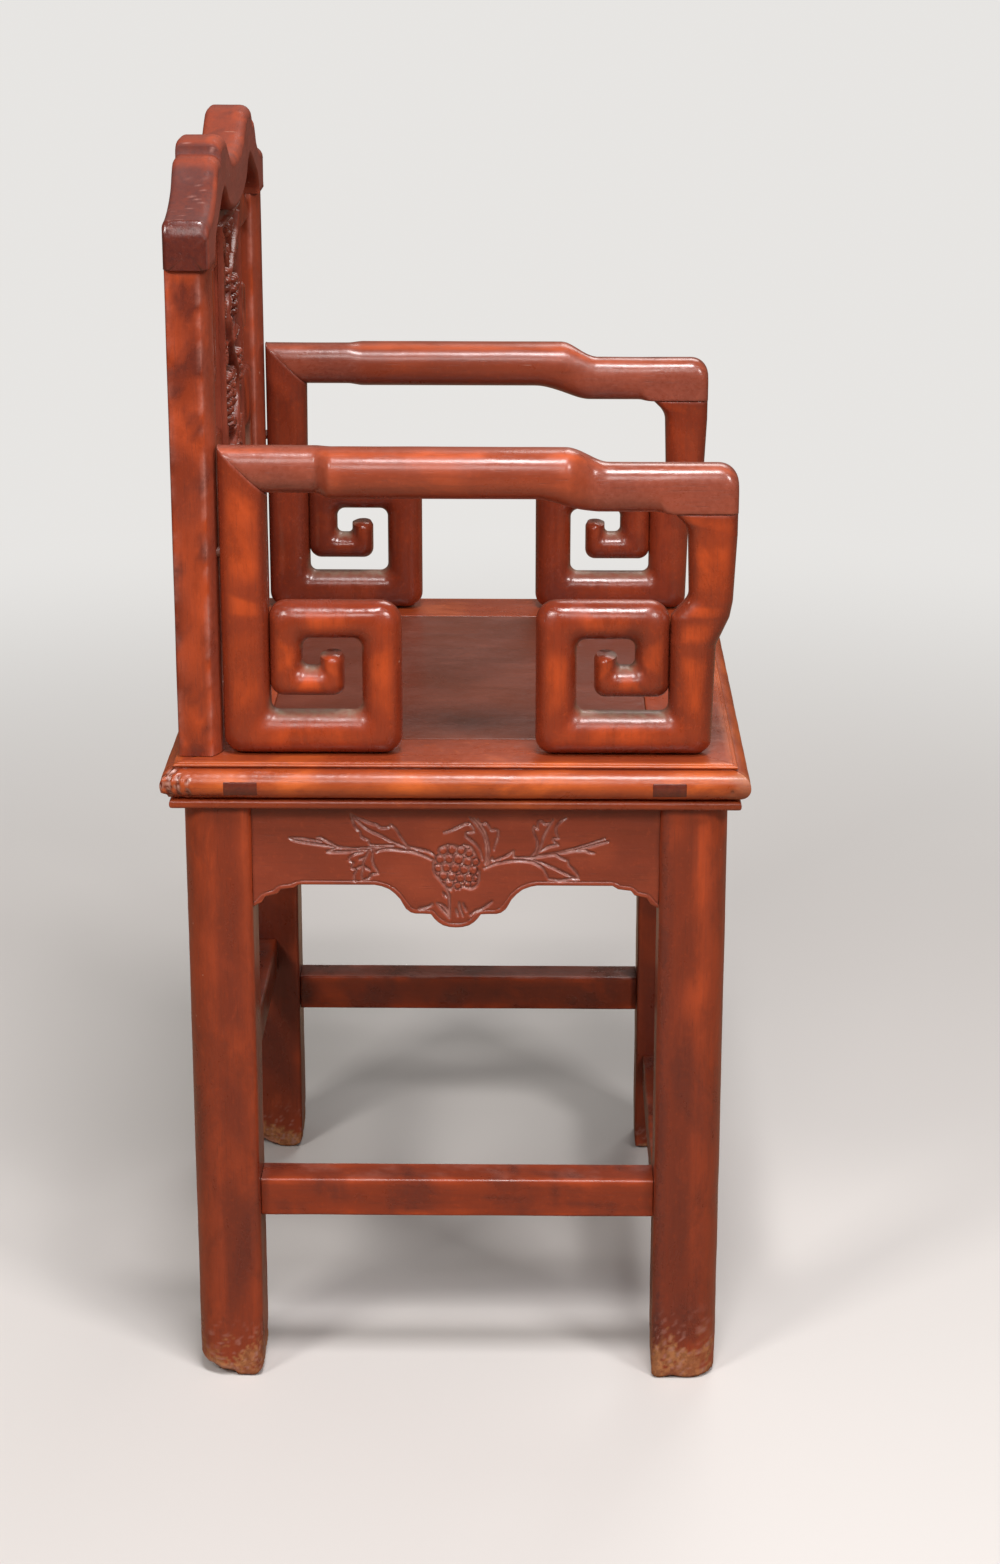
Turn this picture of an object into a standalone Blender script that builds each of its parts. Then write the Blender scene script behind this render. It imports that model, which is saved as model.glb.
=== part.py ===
"""Chinese armchair: a joined hardwood frame, built piece by piece at its real size.

Metres, +Z up. The chair faces -Y and the sitter's right arm is at -X. The origin lies on the floor, midway
between the sides and midway along the seat. Heights of the back and arms are measured from the seat's top.
"""

import math

import bmesh
import bpy
import numpy as np
from mathutils import Matrix, Vector

# Clearances and working allowances
FIT = 0.0003
POST_GAP = 0.0008
OVERRUN = 0.004
OVERLAP = 0.001
WELD = 0.00001
SMOOTH_ANGLE = math.radians(35)

# Steps in which curves are drawn
CORNER_STEPS = 4
EDGE_STEPS = 1
NOSE_STEPS = 6
SECTION_STEPS = 2
PEG_SIDES = 12
SIDES = (-1, 1)
HALF_SHARE = 0.5

# Seat frame and panel
SEAT_WIDTH = 0.500
SEAT_DEPTH = 0.430
SEAT_HEIGHT = 0.500
FRAME_THICKNESS = 0.034
RAIL_WIDTH = 0.072
TOP_SETBACK = 0.0095
TOP_BEAD = 0.002
NOSE_DROP = 0.0045
NOSE_HEIGHT = 0.0215
QUIRK_SETBACK = 0.012
FOOT_BEAD_SETBACK = 0.0065
FOOT_BEAD_CHAMFER = 0.002
BEAD_STEP = 0.001
PANEL_THICKNESS = 0.012
TONGUE_THICKNESS = 0.005
TONGUE_LENGTH = 0.007
TONGUE_DROP = 0.0052
FRAME_TENON_START = 0.047
FRAME_TENON_WIDTH = 0.0245
FRAME_TENON_DROP = 0.0115
FRAME_TENON_HEIGHT = 0.0105
FRAME_TENON_SETBACK = 0.0006

# Battens under the panel
BATTEN_PLACE_SHARE = 0.3
BATTEN_WIDTH = 0.030
BATTEN_HEIGHT = 0.016
BATTEN_TENON_LENGTH = 0.010
BATTEN_TENON_HEIGHT = 0.007
BATTEN_TENON_WIDTH = 0.018

# Legs
LEG_SIZE = 0.050
LEG_SETBACK_X = 0.0125
LEG_SETBACK_Y = 0.015
LEG_OUTER_ROUND = 0.018
LEG_SIDE_ROUND = 0.007
LEG_INNER_ROUND = 0.0015
LEG_TENON_SIZE = 0.010
LEG_TENON_LENGTH = 0.0095
LEG_TENON_INSET = 0.0075
LEG_TENON_OFFSET = 0.022

# Aprons
APRON_HEIGHT = 0.0625
APRON_THICKNESS = 0.018
APRON_INSET = 0.006
APRON_LOBE_DROP = 0.0333
APRON_WING_HALF = 0.060
APRON_WING_SHARES = (
    (0.0, 1.0), (0.08, 0.99), (0.16, 0.95), (0.225, 0.87), (0.27, 0.785), (0.307, 0.685), (0.50, 0.675),
    (0.558, 0.645), (0.617, 0.56), (0.653, 0.445), (0.685, 0.335), (0.747, 0.21), (0.82, 0.10),
    (0.917, 0.03), (1.0, 0.0),
)
APRON_END_DROP = 0.0175
APRON_END_REACH = 0.034
APRON_END_SHARES = ((0.12, 0.15), (0.40, 0.22), (0.48, 0.42), (0.75, 0.55), (0.82, 0.80), (1.0, 1.0))
APRON_TENON_LENGTH = 0.012
APRON_TENON_THICKNESS = 0.009
APRON_TENON_HEIGHT = 0.040

# Stretchers
STRETCHER_HEIGHT = 0.031
STRETCHER_THICKNESS = 0.0305
STRETCHER_INSET = 0.0115
FRONT_STRETCHER_INSET = 0.0135
REAR_STRETCHER_INSET = 0.005
FRONT_STRETCHER_BOTTOM = 0.061
SIDE_STRETCHER_BOTTOM = 0.132
REAR_STRETCHER_BOTTOM = 0.1705
REAR_STRETCHER_THICKNESS = 0.026
STRETCHER_EDGE = 0.002
STRETCHER_TENON_LENGTH = 0.020
STRETCHER_TENON_HEIGHT = 0.020
STRETCHER_TENON_THICKNESS = 0.012

# Back posts
POST_WIDTH = 0.038
POST_DEPTH = 0.032
POST_HEIGHT = 0.355
POST_SETBACK_X = 0.025
POST_SETBACK_Y = 0.0125
POST_FRONT_ROUND = 0.009
POST_REAR_ROUND = 0.003
POST_TENON_SIZE = 0.014
POST_TENON_LENGTH = 0.0095
POST_TENON_IN = 0.009
POST_TENON_BACK = 0.013
CREST_TENON_LENGTH = 0.014

# Crest rail, with its upper and lower edges as shares of its half length and its rise
CREST_OVERHANG = 0.004
CREST_RISE = 0.079
CREST_THICKNESS = 0.033
CREST_UPPER_SHARES = (
    (1.0, 0.0), (1.0, 0.25), (0.985, 0.33), (0.955, 0.375), (0.90, 0.42), (0.83, 0.48), (0.77, 0.56),
    (0.715, 0.665), (0.675, 0.79), (0.645, 0.855), (0.60, 0.865), (0.562, 0.868), (0.556, 0.955),
    (0.53, 0.993), (0.46, 1.0), (0.38, 0.985), (0.315, 0.90), (0.25, 0.805), (0.15, 0.735), (0.0, 0.71),
)
CREST_LOWER_SHARES = (
    (0.0, 0.18), (0.12, 0.195), (0.25, 0.255), (0.33, 0.33), (0.39, 0.44), (0.46, 0.505), (0.54, 0.46),
    (0.63, 0.35), (0.75, 0.215), (0.80, 0.09), (0.815, 0.0),
)

# Splat and its side brackets
SPLAT_HALF = 0.075
SPLAT_THICKNESS = 0.016
SPLAT_FRONT_INSET = 0.0085
SPLAT_TENON_HALF = 0.030
SPLAT_TENON_THICKNESS = 0.008
SPLAT_TENON_LENGTH = 0.0095
SPLAT_ARCH_HALF = 0.034
SPLAT_ARCH_RISE = 0.026
SPLAT_ARCH_FOOT = 0.010
CLOUD_CENTRE = 0.094
CLOUD_HALF = 0.030
CLOUD_RISE = 0.021
CLOUD_SHARES = (
    (-1, 0), (-0.72, -0.55), (-0.38, -0.35), (0, -1), (0.38, -0.35), (0.72, -0.55),
    (1, 0), (0.62, 0.62), (0.3, 0.5), (0, 1), (-0.3, 0.5), (-0.62, 0.62),
)
CARTOUCHE_LOW = 0.150
CARTOUCHE_HIGH = 0.335
CARTOUCHE_HALF = 0.058
CARTOUCHE_PROUD = 0.004
BRACKET_WIDTH = 0.1114
UPPER_BRACKET_TOP = 0.3645
UPPER_BRACKET_END = 0.350
UPPER_BRACKET_BAR = 0.016
UPPER_DROP_START = 0.022
UPPER_HOOK_REACH = 0.052
UPPER_TIP_HEIGHT = 0.038
LOWER_BRACKET_HEIGHT = 0.216
BRACKET_GAP = 0.036
LOWER_CEILING = 0.170
LOWER_FLOOR = 0.020
LOWER_BAR = 0.016
LOWER_BAND = 0.016
LOWER_HOOK_LOW = 0.060
LOWER_HOOK_HIGH = 0.076
LOWER_TIP_TOP = 0.104
LOWER_TIP_START = 0.052
LOWER_TIP_WIDTH = 0.016

# Arms: outer faces in line with the back posts
ARM_THICKNESS = 0.030
ARM_HEIGHT = 0.2285
ARM_FRONT_SETBACK = 0.0123
ARM_EDGE = 0.006
RAIL_HEIGHT = 0.034
RAIL_STEP = 0.0115
RAIL_FRONT_HEIGHT = 0.0355
RAIL_SWELL = 0.012
RAIL_CORNER = 0.009
RAIL_FRONT_CORNER = 0.0145
RAIL_END_CORNER = 0.008
SWELL_REAR_START = 0.069
SWELL_REAR_RUN = 0.019
SWELL_FRONT_END = 0.108
SWELL_FRONT_RUN = 0.024
STEP_FRONT_END = 0.096
STEP_RUN = 0.016
RAIL_STATIONS = 5
UPRIGHT_WIDTH = 0.0345
ARM_TENON_WIDTH = 0.012
ARM_TENON_RUN = 0.014
ARM_TENON_LENGTH = 0.008
ARM_TENON_GAP = 0.010

# Front scroll, measured back from the arm's front and up from the seat
FRONT_SPUR_HEIGHT = 0.1085
FRONT_SPUR_RUN = 0.0144
FRONT_SPUR_FOOT = 0.086
FRONT_NOTCH = 0.1075
FRONT_FLARE = 0.010
FRONT_FLARE_ROUND = 0.0095
FRONT_BAND_NEAR = 0.0479
FRONT_BAND_FAR = 0.0712
FRONT_INNER = 0.1143
FRONT_OUTER = 0.144
FRONT_HEIGHT = 0.1145
FRONT_CEILING = 0.0855
FRONT_FLOOR = 0.0316
FRONT_HOOK_LOW = 0.0435
FRONT_HOOK_HIGH = 0.066
FRONT_TIP_NEAR = 0.0856
FRONT_TIP_FAR = 0.1017
FRONT_TIP_TOP = 0.075

# Rear scroll, measured forward from the upright's back and up from the seat
REAR_BAND_NEAR = 0.037
REAR_BAND_FAR = 0.0589
REAR_INNER = 0.1015
REAR_OUTER = 0.1309
REAR_HEIGHT = 0.1175
REAR_CEILING = 0.0872
REAR_FLOOR = 0.0343
REAR_HOOK_LOW = 0.0455
REAR_HOOK_HIGH = 0.0695
REAR_TIP_NEAR = 0.0711
REAR_TIP_FAR = 0.0902
REAR_TIP_TOP = 0.0775
REAR_NOTCH = 0.106

# Corner rounds of both scrolls, seen from the side
SCROLL_OUTER_ROUND = 0.012
SCROLL_FOOT_ROUND = 0.009
SCROLL_NEAR_ROUND = 0.009
SCROLL_OPENING_ROUND = 0.006
SCROLL_HOOK_ROUND = 0.008
SCROLL_SLOT_LIFT = 0.004
NOTCH_ROUND = 0.012

# Hardwood pegs between the arms' pieces
PEG_RADIUS = 0.004
PEG_LENGTH = 0.034
PEG_CLEARANCE = 0.0003
PEG_HEIGHT = 0.150
PEG_SETBACK = 0.017

# Finishes: colour, roughness
LACQUER = (0.30, 0.055, 0.025), 0.32
WORN_LACQUER = (0.38, 0.085, 0.03), 0.38
DARK_LACQUER = (0.14, 0.035, 0.025), 0.30
PANEL_LACQUER = (0.20, 0.055, 0.035), 0.42
RAW_WOOD = (0.42, 0.27, 0.15), 0.75

# Places worked out from the sizes
HALF_WIDTH = SEAT_WIDTH * HALF_SHARE
HALF_DEPTH = SEAT_DEPTH * HALF_SHARE
FRAME_BOTTOM = SEAT_HEIGHT - FRAME_THICKNESS
LEG_OUT_X = HALF_WIDTH - LEG_SETBACK_X
LEG_OUT_Y = HALF_DEPTH - LEG_SETBACK_Y
LEG_IN_X = LEG_OUT_X - LEG_SIZE
LEG_IN_Y = LEG_OUT_Y - LEG_SIZE
LEG_TOP = FRAME_BOTTOM - FIT
POST_OUT_X = HALF_WIDTH - POST_SETBACK_X
POST_IN_X = POST_OUT_X - POST_WIDTH
POST_REAR_Y = HALF_DEPTH - POST_SETBACK_Y
POST_FRONT_Y = POST_REAR_Y - POST_DEPTH
POST_TOP = SEAT_HEIGHT + POST_HEIGHT
SEAT_TOP = SEAT_HEIGHT + FIT
CREST_BASE = POST_TOP + FIT
CREST_HALF = POST_OUT_X + CREST_OVERHANG
SPLAT_FRONT_Y = POST_FRONT_Y + SPLAT_FRONT_INSET
SPLAT_MIDDLE_Y = SPLAT_FRONT_Y + SPLAT_THICKNESS * HALF_SHARE
UPPER_BRACKET_BOTTOM = LOWER_BRACKET_HEIGHT + BRACKET_GAP
ARM_OUT_X = POST_OUT_X
ARM_MIDDLE_X = ARM_OUT_X - ARM_THICKNESS * HALF_SHARE
ARM_FRONT_Y = ARM_FRONT_SETBACK - HALF_DEPTH
ARM_REAR_Y = POST_FRONT_Y - POST_GAP
RAIL_TOP = ARM_HEIGHT
RAIL_BOTTOM = RAIL_TOP - RAIL_HEIGHT
RAIL_FRONT_TOP = RAIL_TOP - RAIL_STEP
RAIL_FRONT_BOTTOM = RAIL_FRONT_TOP - RAIL_FRONT_HEIGHT

parts = bpy.data.collections.new("chinese_armchair")
cutters = bpy.data.collections.new("cutters")


def clear_scene():
    """Removes what the file opened with and adds the two collections."""
    for old in list(bpy.data.objects):
        bpy.data.objects.remove(old, do_unlink=True)
    bpy.context.scene.collection.children.link(parts)
    bpy.context.scene.collection.children.link(cutters)


def finish(name, colour_and_roughness):
    """Makes a lacquer or wood material."""
    colour, roughness = colour_and_roughness
    material = bpy.data.materials.new(name)
    material.use_nodes = True
    shader = material.node_tree.nodes["Principled BSDF"]
    shader.inputs["Base Color"].default_value = (*colour, 1)
    shader.inputs["Roughness"].default_value = roughness
    shader.inputs["Metallic"].default_value = 0
    return material


def rounded_outline(corners, steps=CORNER_STEPS):
    """Turns corners (u, v, radius) into points, with an arc tangent to both sides at each round corner."""
    points = []
    for index, (u, v, radius) in enumerate(corners):
        corner = Vector((u, v))
        if not radius:
            points.append(corner)
            continue
        before = (Vector(corners[index - 1][:2]) - corner).normalized()
        after = (Vector(corners[(index + 1) % len(corners)][:2]) - corner).normalized()
        half_angle = before.angle(after) * HALF_SHARE
        centre = corner + (before + after).normalized() * (radius / math.sin(half_angle))
        start = corner + before * (radius / math.tan(half_angle)) - centre
        end = corner + after * (radius / math.tan(half_angle)) - centre
        turn = start.angle_signed(end)
        for step in range(steps + 1):
            spoke = start.copy()
            spoke.rotate(Matrix.Rotation(-turn * step / steps, 2))
            points.append(centre + spoke)
    return [(point.x, point.y) for point in points]


def turned_to(points, anticlockwise):
    """Gives the outline the stated direction, judged by its signed area."""
    xy = np.array(points)
    following = np.roll(xy, -1, axis=0)
    area = np.sum(xy[:, 0] * following[:, 1] - following[:, 0] * xy[:, 1])
    return points if (area > 0) == anticlockwise else points[::-1]


def flat_mesh(name, loops, depth, edge=0.0):
    """Extrudes a flat outline and its openings by depth, centred, with rounded edges all round."""
    curve = bpy.data.curves.new(name + "_outline", "CURVE")
    curve.dimensions = "2D"
    curve.fill_mode = "BOTH"
    curve.extrude = depth * HALF_SHARE - edge
    curve.bevel_depth = edge
    curve.bevel_resolution = EDGE_STEPS
    curve.offset = -edge
    for index, loop in enumerate(loops):
        points = turned_to(loop, anticlockwise=index == 0)
        spline = curve.splines.new("POLY")
        spline.points.add(len(points) - 1)
        spline.points.foreach_set("co", [value for u, v in points for value in (u, v, 0, 1)])
        spline.use_cyclic_u = True
    guide = bpy.data.objects.new(name + "_guide", curve)
    bpy.context.scene.collection.objects.link(guide)
    evaluated = guide.evaluated_get(bpy.context.evaluated_depsgraph_get())
    mesh = bpy.data.meshes.new_from_object(evaluated)
    bpy.data.objects.remove(guide, do_unlink=True)
    mesh.name = name
    shape = bmesh.new()
    shape.from_mesh(mesh)
    bmesh.ops.remove_doubles(shape, verts=shape.verts, dist=WELD)
    bmesh.ops.recalc_face_normals(shape, faces=shape.faces)
    shape.to_mesh(mesh)
    shape.free()
    return mesh


def facing(u_axis, v_axis, origin):
    """The placement whose local X and Y run along the two given directions."""
    u_axis = Vector(u_axis)
    v_axis = Vector(v_axis)
    turn = Matrix((u_axis, v_axis, u_axis.cross(v_axis))).transposed()
    return Matrix.Translation(origin) @ turn.to_4x4()


def add_part(name, mesh, material, placement=None):
    """Adds one named piece with its own copy of the finish."""
    piece = bpy.data.objects.new(name, mesh)
    if placement is not None:
        piece.matrix_world = placement
    own = material.copy()
    own.name = name + "_finish"
    mesh.materials.clear()
    mesh.materials.append(own)
    mesh.shade_smooth()
    mesh.set_sharp_from_angle(angle=SMOOTH_ANGLE)
    parts.objects.link(piece)
    return piece


def block_mesh(name, blocks):
    """A mesh of separate blocks, each given by its lowest and highest corner."""
    shape = bmesh.new()
    for low, high in blocks:
        low = Vector(low)
        high = Vector(high)
        size = high - low
        place = Matrix.Translation((low + high) * HALF_SHARE) @ Matrix.Diagonal((*size, 1))
        bmesh.ops.create_cube(shape, size=1, matrix=place)
    mesh = bpy.data.meshes.new(name)
    shape.to_mesh(mesh)
    shape.free()
    return mesh


def combine(piece, tool_mesh, operation):
    """Joins or cuts the piece with a tool mesh in world coordinates."""
    tool = bpy.data.objects.new(f"{piece.name}_{operation.lower()}_tool", tool_mesh)
    tool.hide_render = True
    tool.display_type = "WIRE"
    cutters.objects.link(tool)
    modifier = piece.modifiers.new(operation.title(), "BOOLEAN")
    modifier.operation = operation
    modifier.solver = "EXACT"
    modifier.object = tool


def span(low, high, side):
    """Orders a span on the positive side, or its mirror image on the negative side."""
    return (low, high) if side > 0 else (-high, -low)


def box(x_span, y_span, z_span):
    """A block from three spans."""
    return tuple(zip(x_span, y_span, z_span))


def grown(blocks, gap):
    """The mortises for the given tenons, larger all round by the gap."""
    step = Vector((gap, gap, gap))
    return [(Vector(low) - step, Vector(high) + step) for low, high in blocks]


def cut_and_join(piece, tenons=(), mortises=()):
    """Adds tenons to the piece and cuts mortises with clearance."""
    if tenons:
        combine(piece, block_mesh(piece.name + "_tenons", tenons), "UNION")
    if mortises:
        combine(piece, block_mesh(piece.name + "_mortises", grown(mortises, FIT)), "DIFFERENCE")


def frame_tenons(front_back):
    """The tenons of the front or rear rail, which show on the outer faces of the side rails."""
    depth = (FRAME_TENON_START, FRAME_TENON_START + FRAME_TENON_WIDTH)
    y_span = span(HALF_DEPTH - depth[1], HALF_DEPTH - depth[0], front_back)
    top = SEAT_HEIGHT - FRAME_TENON_DROP
    z_span = (top - FRAME_TENON_HEIGHT, top)
    reach = HALF_WIDTH - FRAME_TENON_SETBACK
    start = HALF_WIDTH - RAIL_WIDTH - OVERRUN
    return [box(span(start, reach, side), y_span, z_span) for side in SIDES]


def leg_tenons(side, front_back):
    """Two short tenons on a leg's top, one for each rail that meets over it."""
    z_span = (LEG_TOP - OVERLAP, LEG_TOP + LEG_TENON_LENGTH)
    along_side = (
        span(LEG_OUT_X - LEG_TENON_INSET - LEG_TENON_SIZE, LEG_OUT_X - LEG_TENON_INSET, side),
        span(LEG_OUT_Y - LEG_TENON_OFFSET - LEG_TENON_SIZE - LEG_TENON_INSET,
             LEG_OUT_Y - LEG_TENON_OFFSET - LEG_TENON_INSET, front_back),
    )
    along_end = (
        span(LEG_OUT_X - LEG_TENON_OFFSET - LEG_TENON_SIZE - LEG_TENON_INSET,
             LEG_OUT_X - LEG_TENON_OFFSET - LEG_TENON_INSET, side),
        span(LEG_OUT_Y - LEG_TENON_INSET - LEG_TENON_SIZE, LEG_OUT_Y - LEG_TENON_INSET, front_back),
    )
    return box(*along_side, z_span), box(*along_end, z_span)


def post_tenon(side):
    """The foot tenon of a back post, in the rear seat rail."""
    x_span = span(POST_IN_X + POST_TENON_IN, POST_IN_X + POST_TENON_IN + POST_TENON_SIZE, side)
    y_low = POST_FRONT_Y + POST_TENON_BACK
    z_span = (SEAT_HEIGHT - POST_TENON_LENGTH, SEAT_TOP + OVERLAP)
    return box(x_span, (y_low, y_low + POST_TENON_SIZE), z_span)


def crest_tenon(side):
    """The head tenon of a back post, in the crest rail."""
    x_middle = POST_OUT_X - POST_WIDTH * HALF_SHARE
    y_middle = POST_REAR_Y - POST_DEPTH * HALF_SHARE
    reach = POST_TENON_SIZE * HALF_SHARE
    x_span = span(x_middle - reach, x_middle + reach, side)
    z_span = (POST_TOP - OVERLAP, POST_TOP + CREST_TENON_LENGTH)
    return box(x_span, (y_middle - reach, y_middle + reach), z_span)


def splat_tenon():
    """The splat's foot tenon, in the rear seat rail."""
    reach = SPLAT_TENON_THICKNESS * HALF_SHARE
    y_span = (SPLAT_MIDDLE_Y - reach, SPLAT_MIDDLE_Y + reach)
    z_span = (SEAT_HEIGHT - SPLAT_TENON_LENGTH, SEAT_TOP + OVERLAP)
    blocks = []
    for side in SIDES:
        inner = SPLAT_ARCH_HALF + SPLAT_ARCH_FOOT
        blocks.append(box(span(inner, SPLAT_HALF - SPLAT_ARCH_FOOT, side), y_span, z_span))
    return blocks


def splat_crest_tenon():
    """The splat's head tenon, in the crest rail."""
    reach = SPLAT_TENON_THICKNESS * HALF_SHARE
    top = CREST_BASE + CREST_LOWER_SHARES[0][1] * CREST_RISE
    y_span = (SPLAT_MIDDLE_Y - reach, SPLAT_MIDDLE_Y + reach)
    z_span = (top - SPLAT_TENON_LENGTH, top + SPLAT_TENON_LENGTH)
    return box((-SPLAT_TENON_HALF, SPLAT_TENON_HALF), y_span, z_span)


def arm_tenons(side):
    """Foot tenons of one arm's two scrolls, in the side seat rail, two under each scroll."""
    reach = ARM_TENON_WIDTH * HALF_SHARE
    x_span = span(ARM_MIDDLE_X - reach, ARM_MIDDLE_X + reach, side)
    z_span = (SEAT_HEIGHT - ARM_TENON_LENGTH, SEAT_TOP + OVERLAP)
    front = ARM_FRONT_Y + FRONT_BAND_NEAR
    front_end = ARM_FRONT_Y + FRONT_INNER
    rear_end = ARM_REAR_Y - REAR_INNER
    rear = ARM_REAR_Y - REAR_BAND_NEAR
    front_spans = (front - ARM_TENON_GAP * HALF_SHARE, front_end)
    rear_spans = (rear_end - ARM_TENON_RUN, rear - ARM_TENON_RUN * HALF_SHARE)
    front_blocks = [box(x_span, (start, start + ARM_TENON_RUN), z_span) for start in front_spans]
    rear_blocks = [box(x_span, (start, start + ARM_TENON_RUN), z_span) for start in rear_spans]
    return front_blocks, rear_blocks


def apron_tenons(side, front_back, along):
    """The tenon of a side apron (along "y") or a front or rear apron (along "x") in the leg of one corner."""
    skin = APRON_INSET + (APRON_THICKNESS - APRON_TENON_THICKNESS) * HALF_SHARE
    z_span = (LEG_TOP - APRON_TENON_HEIGHT - APRON_TENON_LENGTH, LEG_TOP - APRON_TENON_LENGTH)
    if along == "y":
        x_span = span(LEG_OUT_X - skin - APRON_TENON_THICKNESS, LEG_OUT_X - skin, side)
        y_span = span(LEG_IN_Y - FIT - OVERLAP, LEG_IN_Y + APRON_TENON_LENGTH, front_back)
    else:
        x_span = span(LEG_IN_X - FIT - OVERLAP, LEG_IN_X + APRON_TENON_LENGTH, side)
        y_span = span(LEG_OUT_Y - skin - APRON_TENON_THICKNESS, LEG_OUT_Y - skin, front_back)
    return box(x_span, y_span, z_span)


def stretcher_tenon(side, front_back, along):
    """The tenon of a stretcher in the leg of one corner, centred in the stretcher's end."""
    bottoms = {"y": SIDE_STRETCHER_BOTTOM, 1: REAR_STRETCHER_BOTTOM, -1: FRONT_STRETCHER_BOTTOM}
    thickness = REAR_STRETCHER_THICKNESS if along == "x" and front_back > 0 else STRETCHER_THICKNESS
    bottom = bottoms["y"] if along == "y" else bottoms[front_back]
    middle = bottom + STRETCHER_HEIGHT * HALF_SHARE
    z_span = (middle - STRETCHER_TENON_HEIGHT * HALF_SHARE, middle + STRETCHER_TENON_HEIGHT * HALF_SHARE)
    inset = stretcher_inset(front_back, along)
    skin = inset + (thickness - STRETCHER_TENON_THICKNESS) * HALF_SHARE
    if along == "y":
        x_span = span(LEG_OUT_X - skin - STRETCHER_TENON_THICKNESS, LEG_OUT_X - skin, side)
        y_span = span(LEG_IN_Y - FIT - OVERLAP, LEG_IN_Y + STRETCHER_TENON_LENGTH, front_back)
    else:
        x_span = span(LEG_IN_X - FIT - OVERLAP, LEG_IN_X + STRETCHER_TENON_LENGTH, side)
        y_span = span(LEG_OUT_Y - skin - STRETCHER_TENON_THICKNESS, LEG_OUT_Y - skin, front_back)
    return box(x_span, y_span, z_span)


def stretcher_inset(front_back, along):
    """How far a stretcher's outer face lies inside the legs' outer face."""
    if along == "y":
        return STRETCHER_INSET
    return REAR_STRETCHER_INSET if front_back > 0 else FRONT_STRETCHER_INSET


def batten_tenons(side):
    """Stub tenons at both ends of a batten, in the front and rear rails."""
    middle = HALF_WIDTH * BATTEN_PLACE_SHARE
    x_span = span(middle - BATTEN_TENON_WIDTH * HALF_SHARE, middle + BATTEN_TENON_WIDTH * HALF_SHARE, side)
    top = SEAT_HEIGHT - PANEL_THICKNESS - FIT
    z_middle = top - BATTEN_HEIGHT * HALF_SHARE
    z_span = (z_middle - BATTEN_TENON_HEIGHT * HALF_SHARE, z_middle + BATTEN_TENON_HEIGHT * HALF_SHARE)
    inner = HALF_DEPTH - RAIL_WIDTH - FIT - OVERLAP
    outer = HALF_DEPTH - RAIL_WIDTH + BATTEN_TENON_LENGTH
    return [box(x_span, span(inner, outer, end), z_span) for end in SIDES]


def frame_profile():
    """Section of a seat rail: u outward from the panel side to the nose, v down from the seat's top."""
    nose = NOSE_HEIGHT * HALF_SHARE
    nose_middle = -NOSE_DROP - nose
    groove_top = -TONGUE_DROP + FIT
    groove_bottom = -TONGUE_DROP - TONGUE_THICKNESS - FIT
    groove_depth = TONGUE_LENGTH + FIT * 2
    points = [
        (-RAIL_WIDTH, 0),
        (-RAIL_WIDTH, groove_top),
        (-RAIL_WIDTH + groove_depth, groove_top),
        (-RAIL_WIDTH + groove_depth, groove_bottom),
        (-RAIL_WIDTH, groove_bottom),
        (-RAIL_WIDTH, -FRAME_THICKNESS),
        (-FOOT_BEAD_SETBACK - FOOT_BEAD_CHAMFER, -FRAME_THICKNESS),
        (-FOOT_BEAD_SETBACK, -FRAME_THICKNESS + FOOT_BEAD_CHAMFER),
        (-FOOT_BEAD_SETBACK, -NOSE_DROP - NOSE_HEIGHT - FOOT_BEAD_CHAMFER),
        (-QUIRK_SETBACK, -NOSE_DROP - NOSE_HEIGHT - BEAD_STEP),
    ]
    for step in range(NOSE_STEPS + 1):
        angle = math.pi * (step / NOSE_STEPS - HALF_SHARE)
        points.append((nose * (math.cos(angle) - 1), nose_middle + nose * math.sin(angle)))
    points += [
        (-TOP_SETBACK - TOP_BEAD, -NOSE_DROP),
        (-TOP_SETBACK - TOP_BEAD, -TOP_BEAD - BEAD_STEP),
        (-TOP_SETBACK, -TOP_BEAD),
        (-TOP_SETBACK, -BEAD_STEP),
        (-TOP_SETBACK - TOP_BEAD * HALF_SHARE, 0),
    ]
    return points


def seat_rail(name, outward, half_length, material):
    """A moulded rail with mitred ends, grooved inside for the panel."""
    mesh = flat_mesh(name, [frame_profile()], half_length * 2)
    for vertex in mesh.vertices:
        end = math.copysign(1, vertex.co.z)
        vertex.co.z = end * (half_length + vertex.co.x - FIT)
    outward = Vector(outward)
    reach = HALF_WIDTH if outward.x else HALF_DEPTH
    place = facing(outward, (0, 0, 1), outward * reach + Vector((0, 0, SEAT_HEIGHT)))
    return add_part(name, mesh, material, place)


def make_seat_frame(material):
    """Four mitred rails. The front and rear rails are tenoned through the side rails."""
    for side, word in zip(SIDES, ("right", "left")):
        rail = seat_rail(f"seat_rail_{word}", (side, 0, 0), HALF_DEPTH, material)
        through = [tenon for front_back in SIDES for tenon in frame_tenons(front_back)]
        reach = Vector((OVERRUN, 0, 0))
        through = [(Vector(low) - reach, Vector(high) + reach) for low, high in through]
        legs = [leg_tenons(side, front_back)[0] for front_back in SIDES]
        front_scroll, rear_scroll = arm_tenons(side)
        cut_and_join(rail, mortises=through + legs + front_scroll + rear_scroll)
    for front_back, word in zip(SIDES, ("front", "rear")):
        rail = seat_rail(f"seat_rail_{word}", (0, front_back, 0), HALF_WIDTH, material)
        legs = [leg_tenons(side, front_back)[1] for side in SIDES]
        battens = [batten_tenons(side)[SIDES.index(front_back)] for side in SIDES]
        above = [post_tenon(side) for side in SIDES] + splat_tenon() if front_back > 0 else []
        cut_and_join(rail, tenons=frame_tenons(front_back), mortises=legs + battens + above)


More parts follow.
